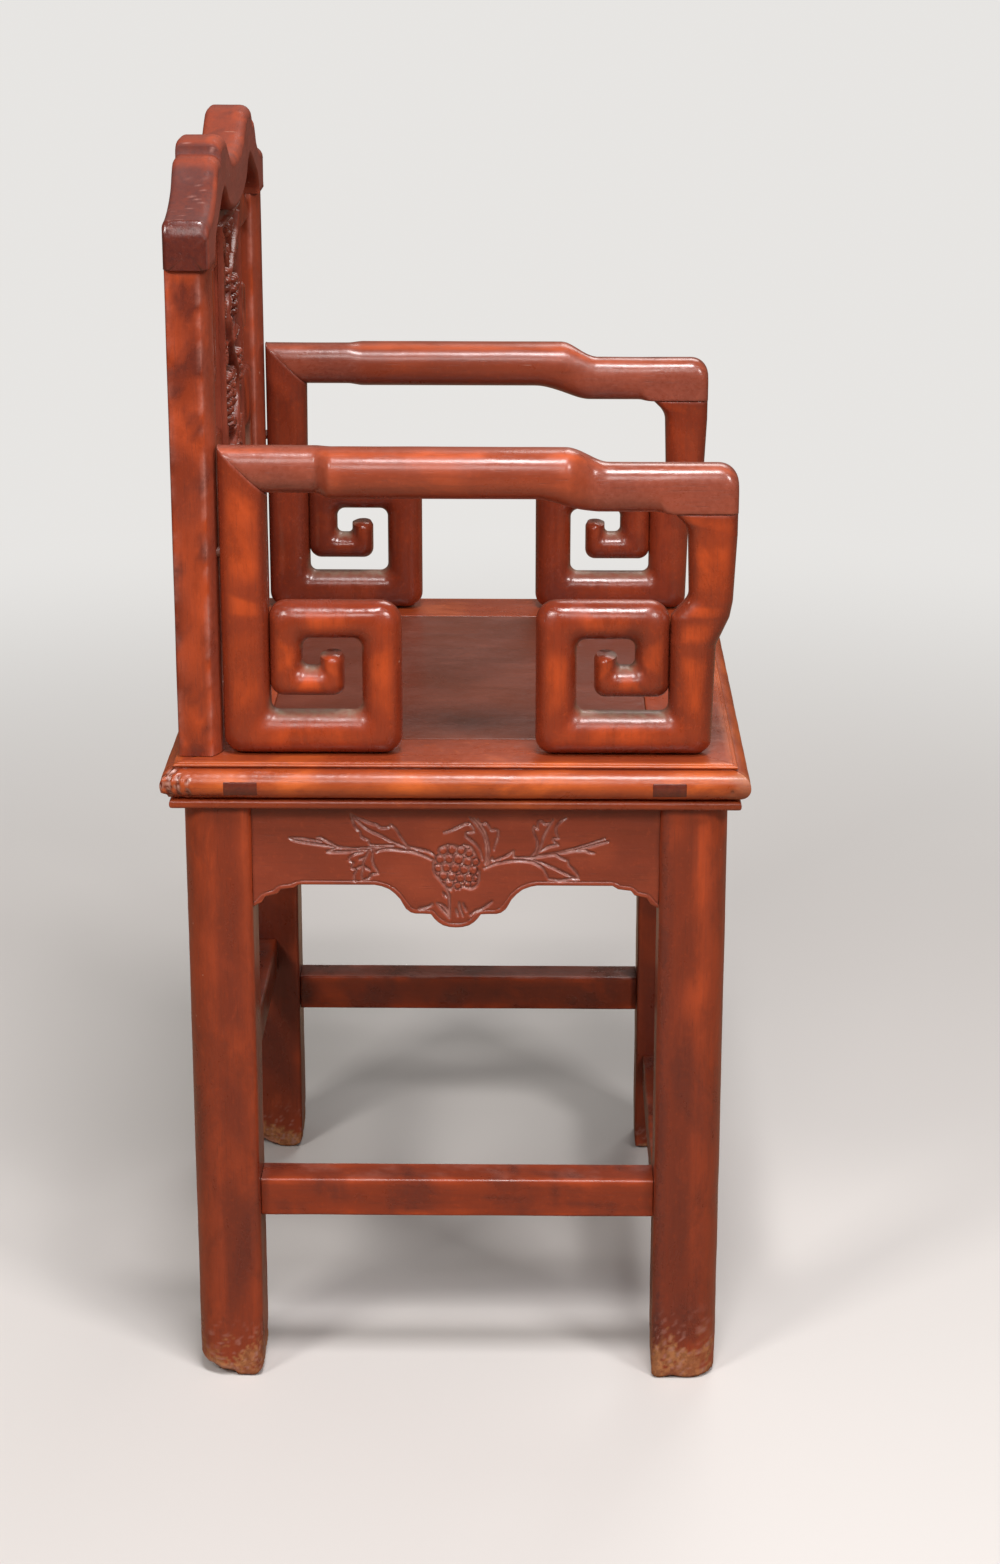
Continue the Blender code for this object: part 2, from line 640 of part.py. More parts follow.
def make_seat_panel(material):
    """One wide board, level with the frame, with a tongue all round that lies in the rails' grooves."""
    half_x = HALF_WIDTH - RAIL_WIDTH - FIT
    half_y = HALF_DEPTH - RAIL_WIDTH - FIT
    top = SEAT_HEIGHT
    board = [box((-half_x, half_x), (-half_y, half_y), (top - PANEL_THICKNESS, top))]
    panel = add_part("seat_panel", block_mesh("seat_panel", board), material)
    reach_x = half_x + TONGUE_LENGTH
    reach_y = half_y + TONGUE_LENGTH
    tongue_top = top - TONGUE_DROP
    tongue = box((-reach_x, reach_x), (-reach_y, reach_y), (tongue_top - TONGUE_THICKNESS, tongue_top))
    cut_and_join(panel, tenons=[tongue])


def make_battens(material):
    """Two battens that stiffen the panel from below, tenoned into the front and rear rails."""
    top = SEAT_HEIGHT - PANEL_THICKNESS - FIT
    half_y = HALF_DEPTH - RAIL_WIDTH - FIT
    for side, word in zip(SIDES, ("right", "left")):
        middle = HALF_WIDTH * BATTEN_PLACE_SHARE
        x_span = span(middle - BATTEN_WIDTH * HALF_SHARE, middle + BATTEN_WIDTH * HALF_SHARE, side)
        name = f"seat_batten_{word}"
        mesh = block_mesh(name, [box(x_span, (-half_y, half_y), (top - BATTEN_HEIGHT, top))])
        batten = add_part(name, mesh, material)
        cut_and_join(batten, tenons=batten_tenons(side))


def make_legs(material):
    """Square legs with rounded outer faces, mortised for the aprons and stretchers."""
    for front_back, end in zip(SIDES, ("front", "rear")):
        for side, word in zip(SIDES, ("right", "left")):
            corners = [
                (side * LEG_OUT_X, front_back * LEG_OUT_Y, LEG_OUTER_ROUND),
                (side * LEG_IN_X, front_back * LEG_OUT_Y, LEG_SIDE_ROUND),
                (side * LEG_IN_X, front_back * LEG_IN_Y, LEG_INNER_ROUND),
                (side * LEG_OUT_X, front_back * LEG_IN_Y, LEG_SIDE_ROUND),
            ]
            name = f"leg_{end}_{word}"
            mesh = flat_mesh(name, [rounded_outline(corners)], LEG_TOP)
            leg = add_part(name, mesh, material, Matrix.Translation((0, 0, LEG_TOP * HALF_SHARE)))
            mortises = []
            for along in "xy":
                mortises.append(apron_tenons(side, front_back, along))
                mortises.append(stretcher_tenon(side, front_back, along))
            cut_and_join(leg, tenons=leg_tenons(side, front_back), mortises=mortises)


def apron_edge(half_length):
    """Right half of an apron's lower edge, from the middle: lobe, cusp, shoulder, flat and end drop."""
    end_start = half_length - APRON_END_REACH
    points = [(u * APRON_WING_HALF, -v * APRON_LOBE_DROP) for u, v in APRON_WING_SHARES]
    points.append((end_start, 0))
    points += [(end_start + u * APRON_END_REACH, -v * APRON_END_DROP) for u, v in APRON_END_SHARES]
    return points


def make_aprons(material):
    """Shaped boards between the legs, just under the seat frame."""
    top = LEG_TOP
    inner = APRON_INSET + APRON_THICKNESS * HALF_SHARE
    settings = []
    for side, word in zip(SIDES, ("right", "left")):
        settings.append((word, (0, side, 0), Vector((side * (LEG_OUT_X - inner), 0, 0)), LEG_IN_Y, side, "y"))
    for end, word in zip(SIDES, ("front", "rear")):
        settings.append((word, (-end, 0, 0), Vector((0, end * (LEG_OUT_Y - inner), 0)), LEG_IN_X, end, "x"))
    for word, u_axis, middle, reach, side, along in settings:
        half_length = reach - FIT
        right = apron_edge(half_length)
        left = [(-u, v) for u, v in right[:0:-1]]
        flat = [(u, v - APRON_HEIGHT) for u, v in left + right]
        outline = flat + [(half_length, 0), (-half_length, 0)]
        name = f"apron_{word}"
        mesh = flat_mesh(name, [outline], APRON_THICKNESS)
        apron = add_part(name, mesh, material, facing(u_axis, (0, 0, 1), middle + Vector((0, 0, top))))
        if along == "y":
            tenons = [apron_tenons(side, end, along) for end in SIDES]
        else:
            tenons = [apron_tenons(end, side, along) for end in SIDES]
        cut_and_join(apron, tenons=tenons)


def make_stretchers(material):
    """Square stretchers, stepped so that their mortises don't meet: front lowest, then sides, then rear."""
    for side, word in zip(SIDES, ("right", "left")):
        outer = LEG_OUT_X - STRETCHER_INSET
        section = stretcher_section(span(outer - STRETCHER_THICKNESS, outer, side), SIDE_STRETCHER_BOTTOM)
        mesh = flat_mesh(f"stretcher_{word}", [section], (LEG_IN_Y - FIT) * 2)
        bar = add_part(f"stretcher_{word}", mesh, material, facing((1, 0, 0), (0, 0, 1), Vector()))
        cut_and_join(bar, tenons=[stretcher_tenon(side, end, "y") for end in SIDES])
    for end, word in zip(SIDES, ("front", "rear")):
        outer = LEG_OUT_Y - stretcher_inset(end, "x")
        thickness = REAR_STRETCHER_THICKNESS if end > 0 else STRETCHER_THICKNESS
        bottom = REAR_STRETCHER_BOTTOM if end > 0 else FRONT_STRETCHER_BOTTOM
        section = stretcher_section(span(outer - thickness, outer, end), bottom)
        mesh = flat_mesh(f"stretcher_{word}", [section], (LEG_IN_X - FIT) * 2)
        bar = add_part(f"stretcher_{word}", mesh, material, facing((0, 1, 0), (0, 0, 1), Vector()))
        cut_and_join(bar, tenons=[stretcher_tenon(side, end, "x") for side in SIDES])


def stretcher_section(across, bottom):
    """A stretcher's section, with its edges eased."""
    low, high = across
    top = bottom + STRETCHER_HEIGHT
    corners = [(low, bottom, STRETCHER_EDGE), (high, bottom, STRETCHER_EDGE),
               (high, top, STRETCHER_EDGE), (low, top, STRETCHER_EDGE)]
    return rounded_outline(corners, steps=1)


def make_back_posts(material):
    """Two posts with a rounded front, tenoned into the rear seat rail and the crest."""
    height = POST_HEIGHT - FIT
    for side, word in zip(SIDES, ("right", "left")):
        corners = [
            (side * POST_OUT_X, POST_FRONT_Y, POST_FRONT_ROUND),
            (side * POST_OUT_X, POST_REAR_Y, POST_REAR_ROUND),
            (side * POST_IN_X, POST_REAR_Y, POST_REAR_ROUND),
            (side * POST_IN_X, POST_FRONT_Y, POST_FRONT_ROUND),
        ]
        name = f"back_post_{word}"
        mesh = flat_mesh(name, [rounded_outline(corners)], height)
        post = add_part(name, mesh, material, Matrix.Translation((0, 0, SEAT_TOP + height * HALF_SHARE)))
        cut_and_join(post, tenons=[post_tenon(side), crest_tenon(side)])
        drill(post, back_peg(side))


def crest_lower_edge(x):
    """Height of the crest's lower edge at a distance from the middle."""
    shares = np.array(CREST_LOWER_SHARES)
    return CREST_BASE + CREST_RISE * float(np.interp(abs(x) / CREST_HALF, shares[:, 0], shares[:, 1]))


def make_crest(material):
    """The cloud-shaped top rail, sawn from one plank and seated on the posts."""
    right = [(u * CREST_HALF, v * CREST_RISE) for u, v in CREST_LOWER_SHARES + CREST_UPPER_SHARES[:-1]]
    middle = (0, CREST_UPPER_SHARES[-1][1] * CREST_RISE)
    left = [(-u, v) for u, v in right[:0:-1]]
    outline = right + [middle] + left
    mesh = flat_mesh("crest_rail", [outline], CREST_THICKNESS)
    depth = POST_REAR_Y - CREST_THICKNESS * HALF_SHARE
    place = facing((1, 0, 0), (0, 0, 1), Vector((0, depth, CREST_BASE)))
    crest = add_part("crest_rail", mesh, material, place)
    cut_and_join(crest, mortises=[crest_tenon(side) for side in SIDES] + [splat_crest_tenon()])


def cloud_opening():
    """The pierced cloud of the splat, in heights above the seat."""
    return [(u * CLOUD_HALF, CLOUD_CENTRE + v * CLOUD_RISE) for u, v in CLOUD_SHARES]


def make_splat(material):
    """The middle board of the back: arched foot, pierced cloud, and a raised field for the carving."""
    base = SEAT_TOP - SEAT_HEIGHT
    arch_foot = SPLAT_ARCH_HALF + SPLAT_ARCH_FOOT
    arch = [
        (-arch_foot, base, 0),
        (-SPLAT_ARCH_HALF, SPLAT_ARCH_RISE, SPLAT_ARCH_FOOT),
        (SPLAT_ARCH_HALF, SPLAT_ARCH_RISE, SPLAT_ARCH_FOOT),
        (arch_foot, base, 0),
    ]
    foot = [(-SPLAT_HALF, base, 0)] + arch + [(SPLAT_HALF, base, 0)]
    outline = rounded_outline(foot)
    knees = [share * CREST_HALF for share, _ in CREST_LOWER_SHARES if share * CREST_HALF < SPLAT_HALF]
    right = knees + [SPLAT_HALF]
    for x in right[::-1] + [-x for x in right[1:]]:
        outline.append((x, crest_lower_edge(x) - FIT - SEAT_HEIGHT))
    place = facing((1, 0, 0), (0, 0, 1), Vector((0, SPLAT_MIDDLE_Y, SEAT_HEIGHT)))
    mesh = flat_mesh("back_splat", [outline, cloud_opening()], SPLAT_THICKNESS)
    splat = add_part("back_splat", mesh, material, place)
    low = SEAT_HEIGHT + CARTOUCHE_LOW
    high = SEAT_HEIGHT + CARTOUCHE_HIGH
    y_span = (SPLAT_FRONT_Y - CARTOUCHE_PROUD, SPLAT_MIDDLE_Y)
    field = box((-CARTOUCHE_HALF, CARTOUCHE_HALF), y_span, (low, high))
    cut_and_join(splat, tenons=splat_tenon() + [splat_crest_tenon(), field])


def scroll_opening(near, band, far, floor, ceiling, hook_low, hook_high, tip_near, tip_far, tip_top):
    """Opening of a square scroll, as corners. The hook hangs from the near band and turns up at its tip."""
    lift = SCROLL_SLOT_LIFT
    return [
        (band, ceiling, SCROLL_OPENING_ROUND),
        (far, ceiling, SCROLL_OPENING_ROUND),
        (far, floor, SCROLL_OPENING_ROUND),
        (near, floor, lift),
        (near, hook_low + lift, 0),
        (near + lift, hook_low, lift * HALF_SHARE),
        (tip_far, hook_low, SCROLL_HOOK_ROUND),
        (tip_far, tip_top, 0),
        (tip_near, tip_top, 0),
        (tip_near, hook_high, SCROLL_OPENING_ROUND),
        (band, hook_high, SCROLL_OPENING_ROUND),
    ]


def make_brackets(material):
    """Openwork scrolls between the splat and the posts: a hanging hook above, a square scroll below."""
    near = SPLAT_HALF + FIT
    far = POST_IN_X - FIT
    stretch = (far - near) / BRACKET_WIDTH
    base = SEAT_TOP - SEAT_HEIGHT
    drop = UPPER_DROP_START
    drop_far = drop + UPPER_BRACKET_BAR
    hook = UPPER_BRACKET_BOTTOM + UPPER_BRACKET_BAR
    under = UPPER_BRACKET_END - UPPER_BRACKET_BAR
    tip = drop + UPPER_HOOK_REACH
    tip_near = tip - UPPER_BRACKET_BAR
    tip_top = UPPER_BRACKET_BOTTOM + UPPER_TIP_HEIGHT
    ease_round = UPPER_BRACKET_BAR * HALF_SHARE * HALF_SHARE
    upper = rounded_outline([
        (0, UPPER_BRACKET_TOP, 0),
        (0, under, 0),
        (drop, under, ease_round),
        (drop, UPPER_BRACKET_BOTTOM, SCROLL_HOOK_ROUND),
        (tip, UPPER_BRACKET_BOTTOM, SCROLL_HOOK_ROUND),
        (tip, tip_top, ease_round),
        (tip_near, tip_top, ease_round),
        (tip_near, hook, ease_round),
        (drop_far, hook, ease_round),
        (drop_far, under, ease_round),
        (BRACKET_WIDTH, under, 0),
        (BRACKET_WIDTH, UPPER_BRACKET_END, 0),
        (BRACKET_WIDTH - UPPER_DROP_START, UPPER_BRACKET_TOP, SCROLL_OUTER_ROUND),
    ])
    lower = [
        (0, base), (BRACKET_WIDTH, base),
        (BRACKET_WIDTH, LOWER_BRACKET_HEIGHT), (0, LOWER_BRACKET_HEIGHT),
    ]
    opening = rounded_outline(scroll_opening(
        near=LOWER_BAR, band=LOWER_BAR + LOWER_BAND, far=BRACKET_WIDTH - LOWER_BAR, floor=LOWER_FLOOR,
        ceiling=LOWER_CEILING, hook_low=LOWER_HOOK_LOW, hook_high=LOWER_HOOK_HIGH, tip_near=LOWER_TIP_START,
        tip_far=LOWER_TIP_START + LOWER_TIP_WIDTH, tip_top=LOWER_TIP_TOP))
    place = facing((1, 0, 0), (0, 0, 1), Vector((0, SPLAT_MIDDLE_Y, SEAT_HEIGHT)))
    for side, word in zip(SIDES, ("right", "left")):
        for level, loops in (("upper", [upper]), ("lower", [lower, opening])):
            name = f"back_bracket_{level}_{word}"
            turned = [[(side * (near + u * stretch), v) for u, v in loop] for loop in loops]
            add_part(name, flat_mesh(name, turned, SPLAT_THICKNESS), material, place)


def peg_mesh(name, clearance, placement=None):
    """A round peg along Z, or along the placement's Z."""
    shape = bmesh.new()
    radius = PEG_RADIUS + clearance
    bmesh.ops.create_cone(shape, cap_ends=True, segments=PEG_SIDES, radius1=radius, radius2=radius,
                          depth=PEG_LENGTH + clearance * 2, matrix=placement or Matrix())
    mesh = bpy.data.meshes.new(name)
    shape.to_mesh(mesh)
    shape.free()
    return mesh


def back_peg(side):
    """Placement of the peg that crosses the open joint between a back post and the arm's upright."""
    middle = (side * ARM_MIDDLE_X, (POST_FRONT_Y + ARM_REAR_Y) * HALF_SHARE, SEAT_HEIGHT + PEG_HEIGHT)
    return facing((0, 0, 1), (1, 0, 0), middle)


def front_peg(side):
    """Placement of the peg that stands in the front post's top and holds the arm rail."""
    height = SEAT_HEIGHT + RAIL_FRONT_BOTTOM
    return Matrix.Translation((side * ARM_MIDDLE_X, ARM_FRONT_Y + PEG_SETBACK, height))


def drill(piece, placement):
    """Bores a peg's hole in the piece."""
    combine(piece, peg_mesh(piece.name + "_peg_hole", PEG_CLEARANCE, placement), "DIFFERENCE")


def front_scroll_outline():
    """Outline of the front post and its scroll: distance back from the arm's front, and seat height."""
    base = SEAT_TOP - SEAT_HEIGHT
    flare_top = RAIL_FRONT_BOTTOM - FIT
    top = flare_top + ARM_EDGE * 2
    inner = UPRIGHT_WIDTH
    return [
        (FRONT_SPUR_RUN, base, 0),
        (FRONT_OUTER, base, SCROLL_FOOT_ROUND),
        (FRONT_OUTER, FRONT_HEIGHT, SCROLL_OUTER_ROUND),
        (FRONT_BAND_NEAR, FRONT_HEIGHT, 0),
        (FRONT_BAND_NEAR, FRONT_NOTCH, 0),
        (inner, FRONT_NOTCH, NOTCH_ROUND),
        (inner, flare_top - FRONT_FLARE, FRONT_FLARE_ROUND),
        (inner + FRONT_FLARE, flare_top, 0),
        (inner + FRONT_FLARE, top, 0),
        (0, top, 0),
        (0, FRONT_SPUR_HEIGHT, 0),
        (FRONT_SPUR_RUN, FRONT_SPUR_FOOT, SCROLL_NEAR_ROUND),
    ]


def rear_scroll_outline():
    """Outline of the arm's upright and its scroll: distance forward from its back, and seat height."""
    base = SEAT_TOP - SEAT_HEIGHT
    return [
        (0, base, SCROLL_FOOT_ROUND),
        (REAR_OUTER, base, SCROLL_FOOT_ROUND),
        (REAR_OUTER, REAR_HEIGHT, SCROLL_OUTER_ROUND),
        (REAR_BAND_NEAR + SCROLL_SLOT_LIFT, REAR_HEIGHT, SCROLL_NEAR_ROUND),
        (REAR_BAND_NEAR + OVERLAP, REAR_NOTCH, 0),
        (UPRIGHT_WIDTH, REAR_NOTCH, 0),
        (UPRIGHT_WIDTH, RAIL_TOP + UPRIGHT_WIDTH, 0),
        (0, RAIL_TOP + UPRIGHT_WIDTH, 0),
    ]


def front_opening():
    """The front scroll's opening."""
    return scroll_opening(
        near=FRONT_BAND_NEAR + OVERLAP, band=FRONT_BAND_FAR, far=FRONT_INNER, floor=FRONT_FLOOR,
        ceiling=FRONT_CEILING, hook_low=FRONT_HOOK_LOW, hook_high=FRONT_HOOK_HIGH,
        tip_near=FRONT_TIP_NEAR, tip_far=FRONT_TIP_FAR, tip_top=FRONT_TIP_TOP)


def rear_opening():
    """The rear scroll's opening."""
    return scroll_opening(
        near=REAR_BAND_NEAR, band=REAR_BAND_FAR, far=REAR_INNER, floor=REAR_FLOOR,
        ceiling=REAR_CEILING, hook_low=REAR_HOOK_LOW, hook_high=REAR_HOOK_HIGH,
        tip_near=REAR_TIP_NEAR, tip_far=REAR_TIP_FAR, tip_top=REAR_TIP_TOP)


def trim_above(piece, placement, line):
    """Cuts away what lies above a sloping or level line, given by two points in the outline's plane."""
    (low_u, low_v), (high_u, high_v) = line
    slope = (high_v - low_v) / (high_u - low_u)
    ceiling = RAIL_TOP + UPRIGHT_WIDTH * 2
    wedge = [(low_u - OVERRUN, low_v - OVERRUN * slope), (high_u + OVERRUN, high_v + OVERRUN * slope),
             (high_u + OVERRUN, ceiling), (low_u - OVERRUN, ceiling)]
    tool = flat_mesh(piece.name + "_waste", [wedge], ARM_THICKNESS * 2)
    tool.transform(placement)
    combine(piece, tool, "DIFFERENCE")


def make_arm_scrolls(material):
    """The four scrolls: square spirals with rounded edges, each in one piece with its post or upright."""
    front_loops = [[(u + ARM_FRONT_Y, v) for u, v in rounded_outline(loop)]
                   for loop in (front_scroll_outline(), front_opening())]
    rear_loops = [[(ARM_REAR_Y - u, v) for u, v in rounded_outline(loop)]
                  for loop in (rear_scroll_outline(), rear_opening())]
    for side, word in zip(SIDES, ("right", "left")):
        place = facing((0, 1, 0), (0, 0, 1), Vector((side * ARM_MIDDLE_X, 0, SEAT_HEIGHT)))
        front_tenons, rear_tenons = arm_tenons(side)
        name = f"arm_front_scroll_{word}"
        mesh = flat_mesh(name, front_loops, ARM_THICKNESS, ARM_EDGE)
        front = add_part(name, mesh, material, place)
        level = RAIL_FRONT_BOTTOM - FIT
        trim_above(front, place, ((ARM_FRONT_Y, level), (ARM_FRONT_Y + UPRIGHT_WIDTH + FRONT_FLARE, level)))
        cut_and_join(front, tenons=front_tenons)
        drill(front, front_peg(side))
        name = f"arm_rear_scroll_{word}"
        mesh = flat_mesh(name, rear_loops, ARM_THICKNESS, ARM_EDGE)
        rear = add_part(name, mesh, material, place)
        mitre = (ARM_REAR_Y - UPRIGHT_WIDTH, RAIL_BOTTOM - FIT), (ARM_REAR_Y, RAIL_TOP - FIT)
        trim_above(rear, place, mitre)
        cut_and_join(rear, tenons=rear_tenons)
        drill(rear, back_peg(side))


def ease(share):
    """A smooth rise from 0 to 1."""
    share = min(max(share, 0), 1)
    return share * share * (3 - 2 * share)


def rail_section(y):
    """Sizes of the arm rail at a place along it: outer swell, bottom, top, side pinch."""
    swell_in = ease((ARM_REAR_Y - SWELL_REAR_START - y) / SWELL_REAR_RUN)
    swell_out = ease((ARM_FRONT_Y + SWELL_FRONT_END + SWELL_FRONT_RUN - y) / SWELL_FRONT_RUN)
    top_step = ease((ARM_FRONT_Y + STEP_FRONT_END + STEP_RUN - y) / STEP_RUN)
    swell = RAIL_SWELL * (swell_in - swell_out)
    bottom = RAIL_BOTTOM + (RAIL_FRONT_BOTTOM - RAIL_BOTTOM) * swell_out
    top = RAIL_TOP - RAIL_STEP * top_step
    from_end = y - ARM_FRONT_Y
    if from_end < RAIL_FRONT_CORNER:
        rest = RAIL_FRONT_CORNER - from_end
        top -= RAIL_FRONT_CORNER - math.sqrt(RAIL_FRONT_CORNER ** 2 - rest ** 2)
    pinch = 0.0
    if from_end < RAIL_END_CORNER:
        rest = RAIL_END_CORNER - from_end
        pinch = RAIL_END_CORNER - math.sqrt(RAIL_END_CORNER ** 2 - rest ** 2)
    return swell, bottom, top, pinch


def rail_stations():
    """Places along the rail where its section is drawn, from the mitre to the front."""
    mitre = ARM_REAR_Y - UPRIGHT_WIDTH
    swell_start = ARM_REAR_Y - SWELL_REAR_START
    swell_end = ARM_FRONT_Y + SWELL_FRONT_END
    step_end = ARM_FRONT_Y + STEP_FRONT_END
    places = {mitre}
    for step in range(RAIL_STATIONS + 1):
        share = step / RAIL_STATIONS
        places.add(swell_start - share * SWELL_REAR_RUN)
        places.add(swell_end + SWELL_FRONT_RUN - share * SWELL_FRONT_RUN)
        places.add(step_end + STEP_RUN - share * STEP_RUN)
        places.add(ARM_FRONT_Y + RAIL_FRONT_CORNER * (1 - math.sin(share * math.pi * HALF_SHARE)))
    return sorted(places, reverse=True)


def loft(name, rings):
    """Joins rings of equally many points into a closed solid."""
    shape = bmesh.new()
    rows = [[shape.verts.new(point) for point in ring] for ring in rings]
    count = len(rows[0])
    for row, following in zip(rows, rows[1:]):
        for index in range(count):
            after = (index + 1) % count
            shape.faces.new((row[index], row[after], following[after], following[index]))
    shape.faces.new(rows[0])
    shape.faces.new(rows[-1])
    bmesh.ops.recalc_face_normals(shape, faces=shape.faces)
    mesh = bpy.data.meshes.new(name)
    shape.to_mesh(mesh)
    shape.free()
    return mesh


def make_arm_rails(material):
    """The arm's top rail: it swells outward for the forearm, steps down, and rounds over the front post."""
    inner = ARM_OUT_X - ARM_THICKNESS
    for side, word in zip(SIDES, ("right", "left")):
        rings = []
        for index, y in enumerate(rail_stations()):
            swell, bottom, top, pinch = rail_section(y)
            low_x = inner + pinch
            high_x = ARM_OUT_X + swell - pinch
            widest = min(high_x - low_x, top - bottom) * HALF_SHARE - OVERLAP
            radius = min(RAIL_CORNER, widest)
            corners = [
                (low_x, bottom, radius), (high_x, bottom, radius),
                (high_x, top, radius), (low_x, top, radius),
            ]
            ring = []
            for x, z in rounded_outline(corners, steps=SECTION_STEPS):
                lean = (z - RAIL_BOTTOM) * UPRIGHT_WIDTH / RAIL_HEIGHT if index == 0 else 0
                ring.append((side * x, y + lean, SEAT_HEIGHT + z))
            rings.append(ring)
        name = f"arm_rail_{word}"
        rail = add_part(name, loft(name, rings), material)
        drill(rail, front_peg(side))


def make_pegs(material):
    """Four like pegs: one between each post and upright, and one on each front post."""
    mesh = peg_mesh("arm_peg", 0)
    for side, word in zip(SIDES, ("right", "left")):
        add_part(f"arm_peg_rear_{word}", mesh, material, back_peg(side))
        add_part(f"arm_peg_front_{word}", mesh, material, front_peg(side))


def build():
    """Makes every piece of the chair."""
    clear_scene()
    lacquer = finish("lacquer", LACQUER)
    worn = finish("worn_lacquer", WORN_LACQUER)
    dark = finish("dark_lacquer", DARK_LACQUER)
    make_seat_frame(worn)
    make_seat_panel(finish("panel_lacquer", PANEL_LACQUER))
    make_battens(dark)
    make_legs(lacquer)
    make_aprons(dark)
    make_stretchers(dark)
    make_back_posts(worn)
    make_crest(dark)
    make_splat(lacquer)
    make_brackets(lacquer)
    make_arm_scrolls(lacquer)
    make_arm_rails(worn)
    make_pegs(finish("raw_wood", RAW_WOOD))


build()
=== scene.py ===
"""Chinese armchair: the finished look of every piece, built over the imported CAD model.

Metres, +Z up. The chair faces -Y and the sitter's right arm is at -X, nearest to the camera.
"""
import math

import bpy
import numpy as np
from mathutils import Matrix, Vector


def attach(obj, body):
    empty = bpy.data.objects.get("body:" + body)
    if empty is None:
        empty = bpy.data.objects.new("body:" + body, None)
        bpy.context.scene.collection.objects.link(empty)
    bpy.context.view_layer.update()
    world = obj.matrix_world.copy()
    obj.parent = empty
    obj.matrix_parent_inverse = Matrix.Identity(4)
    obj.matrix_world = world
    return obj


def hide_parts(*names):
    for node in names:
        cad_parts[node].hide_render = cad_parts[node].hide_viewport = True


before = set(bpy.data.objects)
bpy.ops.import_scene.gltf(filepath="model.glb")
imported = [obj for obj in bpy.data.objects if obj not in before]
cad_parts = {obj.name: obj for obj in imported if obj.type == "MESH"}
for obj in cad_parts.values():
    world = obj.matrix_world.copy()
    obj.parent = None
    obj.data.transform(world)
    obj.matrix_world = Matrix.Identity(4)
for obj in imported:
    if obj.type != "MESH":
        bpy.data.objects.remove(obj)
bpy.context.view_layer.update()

# The studio
# A plain pale floor and backdrop, five soft square lamps, and the camera at the place and tilt from which
# the chair is seen: over two metres to its right and a little above the crest. None of it is the chair.
EYE = (-2.4066, -0.0554, 1.1876)
EYE_TURN, EYE_TILT, EYE_ROLL = 0.0105, -0.3129, 0.001
FOCAL_PIXELS, PICTURE_PIXELS_HIGH, SENSOR = 3133.09, 1564, 36
CHAIR_MIDDLE = (0, 0, 0.5)
LAMPS = (
    ("lamp_above", (-1.15, -0.20, 3.1), 0.65, 56, (1.0, 0.965, 0.975)),
    ("lamp_front_side", (-1.9, -1.6, 2.3), 0.60, 34, (1.0, 0.96, 0.95)),
    ("lamp_rear_side", (-2.0, 1.5, 2.2), 0.60, 31, (1.0, 0.96, 0.93)),
    ("lamp_by_the_camera", (-3.2, 0.15, 2.55), 1.0, 24, (1.0, 0.95, 0.93)),
    ("lamp_far_side", (2.3, -0.7, 2.7), 1.2, 24, (1.0, 0.98, 0.96)))
BACKDROP = (0.80, 0.785, 0.765, 1)
FILL_COLOUR, FILL_STRENGTH = (1.0, 0.97, 0.94, 1), 0.14
MIRRORED_COLOUR, MIRRORED_STRENGTH = (1.0, 0.75, 0.60, 1), 0.13
PALE_FLOOR, WARM_FLOOR = (0.70, 0.68, 0.655, 1), (0.30, 0.20, 0.13, 1)
FLOOR_REACH, FLOOR_ROUGHNESS = 12.0, 0.62
FADE_START, FADE_END = 0.7, 2.6


class Nodes:
    """A node tree that is filled node by node, each socket set to a value or joined to an output."""

    def __init__(self, tree):
        self.tree = tree

    def add(self, kind, settings=(), **sockets):
        """A node of a kind, with its settings. A socket goes by name, or by its place as i0, i1 and on."""
        node = self.tree.nodes.new("ShaderNode" + kind)
        for key, value in dict(settings).items():
            setattr(node, key, value)
        for key, value in sockets.items():
            by_place = key[0] == "i" and key[1:].isdigit()
            self.join(value, node.inputs[int(key[1:]) if by_place else key.replace("_", " ")])
        return node

    def join(self, value, socket):
        """Joins an output to a socket, or sets the socket's own value."""
        if isinstance(value, bpy.types.NodeSocket):
            self.tree.links.new(value, socket)
        else:
            socket.default_value = value


def camera_matrix():
    """The camera's place and turn: its view goes ahead by two angles, and its top leans by the roll."""
    ahead = Vector((
        math.cos(EYE_TURN) * math.cos(EYE_TILT), math.sin(EYE_TURN) * math.cos(EYE_TILT), math.sin(EYE_TILT)))
    level = Vector((math.sin(EYE_TURN), -math.cos(EYE_TURN), 0))
    upward = level.cross(ahead)
    across = math.cos(EYE_ROLL) * level + math.sin(EYE_ROLL) * upward
    upright = math.cos(EYE_ROLL) * upward - math.sin(EYE_ROLL) * level
    return Matrix.Translation(EYE) @ Matrix((across, upright, -ahead)).transposed().to_4x4()


def soft_lamp(name, place, size, watts, colour):
    """A square softbox at a place, turned to face the middle of the chair."""
    lamp = bpy.data.objects.new(name, bpy.data.lights.new(name, "AREA"))
    lamp.data.size = size
    lamp.data.energy = watts
    lamp.data.color = colour
    lamp.location = place
    lamp.rotation_euler = (Vector(CHAIR_MIDDLE) - Vector(place)).to_track_quat("-Z", "Y").to_euler()
    bpy.context.scene.collection.objects.link(lamp)


